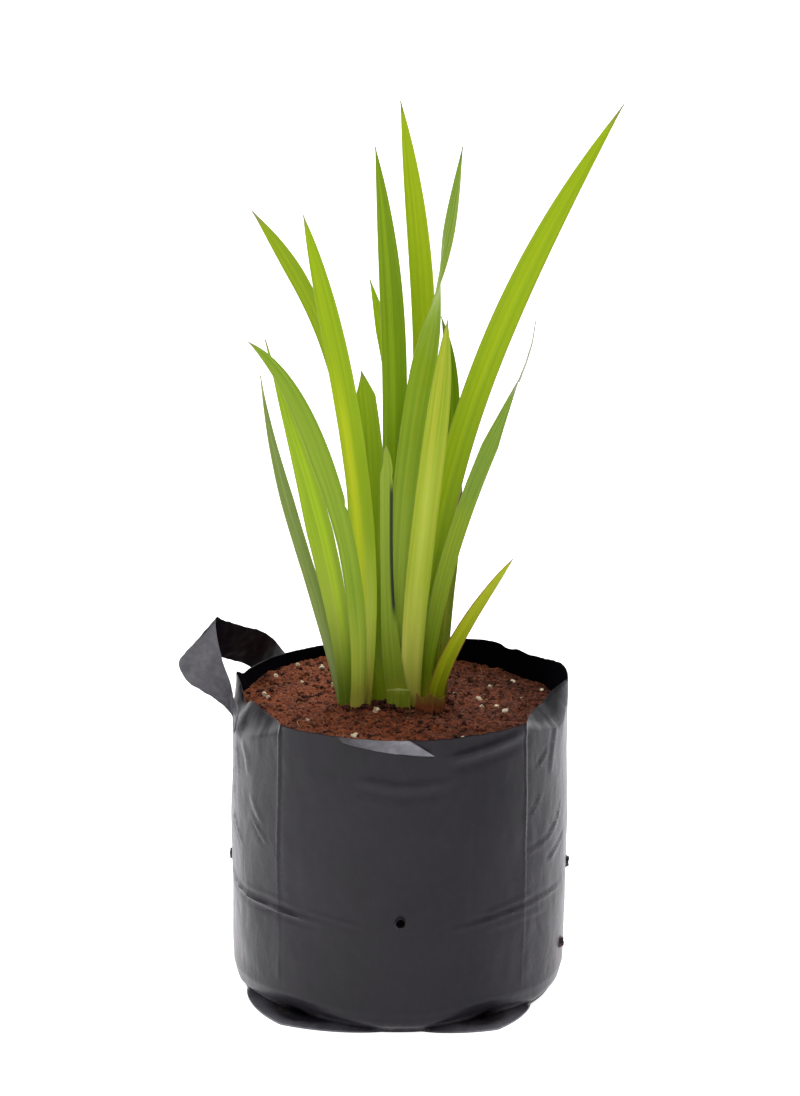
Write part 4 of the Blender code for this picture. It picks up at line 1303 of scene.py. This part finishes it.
def scatter(master: bpy.types.Object, places: Sequence[tuple[Vector, Euler, Vector]]) -> bpy.types.Object:
    """Copies a master to every place, each copy with its own mesh, and joins the copies.

    Args:
        master: The piece to copy, which is removed afterwards.
        places: Place in millimetres, turn and size of each copy.

    Returns:
        The joined copies.
    """
    copies = []
    for place, turn, size in places:
        copy = master.copy()
        copy.data = master.data.copy()
        bpy.context.scene.collection.objects.link(copy)
        copy.location = place * MM
        copy.rotation_euler = turn
        copy.scale = size
        copies.append(copy)
    bpy.data.objects.remove(master)
    made = join(copies)
    settle(made)
    return made


@dataclass(frozen=True)
class Litter:
    """What lies loose on the soil: crumbs, pale perlite grains and coir fibres."""

    ground: Ground
    bag: GrowBag
    seed: int = 11
    reach: float = 78.0
    crumb_count: int = 1900
    bank_share: float = 0.14
    feet: tuple[tuple[float, float], ...] = ((-25, -11), (-19, -12), (-10, -7), (0, -9), (6, -6), (12, -4), (17, -6), (19, 2))
    fibre_count: int = 150
    perlite: tuple[tuple[float, float, float], ...] = (
        (-33.8, 21.5, 1.4), (-39.9, 48.5, 1.2), (-12.1, -19.0, 1.5), (26.6, 13.0, 1.2), (38.9, 6.5, 1.5),
        (40.2, -4.5, 1.3), (47.6, -3.0, 1.5), (51.3, -12.5, 1.6), (45.0, 31.5, 1.2), (-52.5, 56.5, 1.3),
        (-62.8, 33.0, 1.3), (-49.5, 26.5, 1.2), (-67.7, 3.5, 1.1), (-65.6, -1.5, 1.2), (56.8, 40.0, 1.4),
        (71.0, 26.5, 1.2), (-22.4, -56.5, 1.7), (20.0, 55.0, 1.3), (3.0, 66.0, 1.2), (-20.0, 68.0, 1.4),
        (-8.0, 40.0, 1.3), (60.0, 12.0, 1.0), (-45.0, -40.0, 0.9), (30.0, -52.0, 0.9))

    def random(self) -> np.random.Generator:
        """Returns the seeded source of every random draw here."""
        return np.random.default_rng(self.seed)

    def limit(self, turn: float) -> float:
        """Returns how far out the film leaves room for soil."""
        angle = (math.degrees(turn) + 180) % 360 - 180
        rim = self.bag.rim_height(angle)
        return min(self.bag.inner_radius(angle, 141.0, rim), self.bag.inner_radius(angle, 145.0, rim)) - 0.6

    def spot(self, draw: np.random.Generator, sink: float) -> Vector:
        """Returns a random place on the surface."""
        away, turn = self.reach * math.sqrt(draw.uniform(0, 1)), draw.uniform(0, math.tau)
        away = min(away, self.limit(turn) - 2.5)
        x, y = math.cos(turn) * away, math.sin(turn) * away
        if draw.uniform(0, 1) < self.bank_share:
            foot = self.feet[int(draw.integers(len(self.feet)))]
            x, y = foot[0] + draw.normal(0, 4.0), foot[1] - 2.5 + draw.normal(0, 2.2)
            return Vector((x, y, self.ground.top(x, y) + draw.uniform(0.0, 1.4)))
        return Vector((x, y, self.ground.top(x, y) - sink))

    def build_crumbs(self) -> list[bpy.types.Object]:
        """Builds the loose crumbs in three tones."""
        draw = self.random()
        tones = (
            SoilFinish("crumb_dark", "#1f0e09", "#3a1a11", "#54281a", "#744027", "#8c5a3f", 0.11),
            SoilFinish("crumb_red", "#3a170d", "#5e2a1a", "#84432b", "#a8674a", "#c49070", 0.23),
            SoilFinish("crumb_pale", "#5a3322", "#7c4c34", "#9c6a4c", "#b98a68", "#d0aa88", 0.37),
        )
        made = []
        for number, (tone, share) in enumerate(zip(tones, (0.4, 0.45, 0.15))):
            places = []
            for _ in range(int(self.crumb_count * share)):
                size = draw.uniform(0.45, 1.3) ** 1.5
                turn = Euler(tuple(draw.uniform(0, math.tau, 3)))
                shape = Vector(tuple(size * draw.uniform(0.7, 1.25, 3)))
                places.append((self.spot(draw, size * 0.3), turn, shape))
            crumbs = scatter(grain_stone(2, number * 7.0, 0.55), places)
            soften(crumbs, 70)
            made.append(keep(crumbs, tone.name + "s", tone.material()))
        return made

    def build_perlite(self) -> bpy.types.Object:
        """Builds the pale grains where the photo shows them, and some behind the plant."""
        draw = self.random()
        places = []
        for x, y, size in self.perlite:
            turn = Euler(tuple(draw.uniform(0, math.tau, 3)))
            shape = Vector(tuple(size * draw.uniform(0.75, 1.2, 3)))
            places.append((Vector((x, y, self.ground.top(x, y) + size * 0.15)), turn, shape))
        made = scatter(grain_stone(3, 3.0, 0.6), places)
        soften(made, 60)
        white = Recipe("perlite")
        pits = white.cells(white.coordinates(), 1500.0)
        stain = white.grain(white.coordinates(), 260.0, 3.0, 0.6)
        colour = white.ramp(stain, ((0.32, "#c9a47e"), (0.5, "#e6d3b4"), (0.7, "#f4ead6")))
        white.relief(pits, 0.8, 0.35)
        return keep(made, "perlite_grains", white.finish(Base_Color=colour, Roughness=0.85))

    def build_fibres(self) -> bpy.types.Object:
        """Builds the coir fibres, thin bent threads that lie on the crumbs."""
        draw = np.random.default_rng(self.seed + 1)
        threads = []
        for number in range(self.fibre_count):
            middle = self.spot(draw, 0.0)
            turn, bow, length = draw.uniform(0, math.tau), draw.uniform(-0.35, 0.35), draw.uniform(4, 13)
            ends = draw.uniform(0.0, 0.9, 2)

            def place(share: float, across: float) -> Vector:
                run = (share - 0.5) * length
                side = bow * length * (1 - (2 * share - 1) ** 2) * 0.5 + across * 0.14
                x = middle.x + math.cos(turn) * run - math.sin(turn) * side
                y = middle.y + math.sin(turn) * run + math.cos(turn) * side
                lift = mix(ends[0], ends[1], share) + 0.3 * noise.noise(Vector((share * 5, number * 1.7, 0.0)))
                held = min(1.0, min(79.5, self.limit(math.atan2(y, x)) - 0.5) / max(math.hypot(x, y), 0.1))
                x, y = x * held, y * held
                return Vector((x, y, self.ground.top(x, y) * 0.3 + (self.ground.height(x, y) + 1.5) * 0.7 + lift))

            thread = bent_grid(9, 1, place)
            thicken(thread, 0.26, 0.0)
            threads.append(thread)
        made = join(threads)
        soften(made, 80)
        coir = Recipe("coir")
        tone = coir.grain(coir.coordinates(), 90.0, 2.0, 0.5)
        colour = coir.ramp(tone, ((0.35, "#4e2415"), (0.55, "#854a2d"), (0.75, "#bb8158")))
        coir.relief(coir.grain(coir.coordinates(), 3000.0), 0.4, 0.1)
        return keep(made, "coir_fibres", coir.finish(Base_Color=colour, Roughness=0.8))


@dataclass(frozen=True)
class Rootstock:
    """The CAD's rhizome, which keeps its shape and gets its surface."""

    node: str = "rhizome"

    def dress(self) -> None:
        """Gives the node a ringed, fibrous tan surface."""
        made = Recipe("rootstock")
        place = made.coordinates()
        rings = made.grain(made.stretched(place, (420.0, 60.0, 60.0)), 1.0, 3.0, 0.6)
        fibres = made.grain(made.stretched(place, (500.0, 500.0, 90.0)), 1.0, 4.0, 0.6)
        colour = made.ramp(rings, ((0.3, "#6b4528"), (0.5, "#a67e52"), (0.7, "#cdb084")))
        colour = made.blend(made.sum("MULTIPLY", made.band(fibres, 0.5, 0.7), 0.5), colour, paint("#8a4f3a"))
        made.relief(made.sum("ADD", rings, fibres), 0.7, 0.5)
        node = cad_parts[self.node]
        node.data.materials.clear()
        node.data.materials.append(made.finish(Base_Color=colour, Roughness=0.75))


@dataclass(frozen=True)
class Fill:
    """The CAD's fill, which keeps its shape below the crust."""

    node: str = "potting_soil"

    def dress(self) -> None:
        """Gives the node the cocopeat's surface, darkened nearly to black as painted shade for where the fill shows
        through the drain holes.
        """
        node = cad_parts[self.node]
        node.data.materials.clear()
        node.data.materials.append(SoilFinish("shaded_cocopeat_fill", "#050201", "#120705", "#22100a", "#321911", "#40251a",
                                                  shift=0.07).material())


@dataclass(frozen=True)
class Studio:
    """White floor, soft lights and the photo's camera."""

    floor_size: float = 12.0
    wall_at: float = 3.5
    floor_glow: float = 0.8
    wall_glow: float = 1.2
    camera_place: Point = (-0.3, -1715.7, 696.3)
    camera_tilt: float = 74.55
    lens: float = 119.5
    ambient: float = 0.3
    lights: tuple[tuple[str, Point, Point, float, float], ...] = (
        ("key", (-0.8, -1.3, 1.9), (0, 0, 0.2), 1.3, 12.0),
        ("top", (0.3, 0.1, 2.4), (0, 0, 0.15), 1.6, 10.0),
        ("right_strip", (1.5, 0.5, 0.7), (0, 0, 0.1), 0.9, 6.0),
    )

    def build(self) -> None:
        """Builds the studio."""
        self.build_floor()
        for light in self.lights:
            self.build_light(*light)
        world = bpy.data.worlds.new("studio")
        bpy.context.scene.world = world
        world.use_nodes = True
        world.node_tree.nodes["Background"].inputs["Color"].default_value = (1.0, 1.0, 1.0, 1.0)
        world.node_tree.nodes["Background"].inputs["Strength"].default_value = self.ambient
        bpy.ops.object.camera_add(location=Vector(self.camera_place) * MM, rotation=(math.radians(self.camera_tilt), 0, 0))
        camera = bpy.context.object
        camera.name = "photo_camera"
        camera.data.lens = self.lens
        camera.data.sensor_width = 36.0
        camera.data.clip_end = 50.0
        bpy.context.scene.camera = camera
        bpy.context.scene.view_settings.view_transform = "Standard"

    def build_floor(self) -> None:
        """Builds the pale floor and the white wall behind it, which aren't part of the plant."""
        bpy.ops.mesh.primitive_plane_add(size=self.floor_size, location=(0, self.wall_at - self.floor_size / 2, 0))
        floor = bpy.context.object
        bpy.ops.mesh.primitive_plane_add(size=self.floor_size, location=(0, self.wall_at, self.floor_size / 2 - 1),
                                         rotation=(math.radians(90), 0, 0))
        wall = bpy.context.object
        for piece, name, glow in ((floor, "studio_floor", self.floor_glow), (wall, "studio_wall", self.wall_glow)):
            settle(piece)
            piece.name = name
            white = Recipe(name)
            tone = white.grain(white.coordinates(), 3.0)
            colour = white.ramp(tone, ((0.3, "#f6f6f6"), (0.7, "#fafafa")))
            piece.data.materials.append(white.finish(
                Base_Color=colour, Roughness=0.9, Specular_IOR_Level=0.1, Emission_Color=(1, 1, 1, 1),
                Emission_Strength=glow))

    def build_light(self, name: str, place: Point, target: Point, size: float, power: float) -> None:
        """Builds one square area light.

        Args:
            name: Its name.
            place: Where it hangs, in metres.
            target: Where it points.
            size: Its side.
            power: Its power in watts.
        """
        bpy.ops.object.light_add(type="AREA", location=place)
        light = bpy.context.object
        light.name = name
        light.rotation_euler = (Vector(target) - Vector(place)).to_track_quat("-Z", "Y").to_euler()
        light.data.size = size
        light.data.energy = power


def main() -> None:
    """Dresses the plant and its bag."""
    logging.basicConfig(level=logging.INFO, format="%(message)s")
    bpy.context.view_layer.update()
    Studio().build()
    ground, bag = Ground(), GrowBag()
    for seed, leaf in enumerate((*LEFT_FAN, *MIDDLE_FAN, *RIGHT_FAN), start=1):
        leaf.build(float(seed))
    Hair().build()
    OldSheath().build()
    bag.build()
    RimStrip().build()
    SoilCrust(ground, bag).build()
    litter = Litter(ground, bag)
    litter.build_crumbs()
    litter.build_perlite()
    litter.build_fibres()
    Fill().dress()
    Rootstock().dress()


if __name__ == "__main__":
    main()
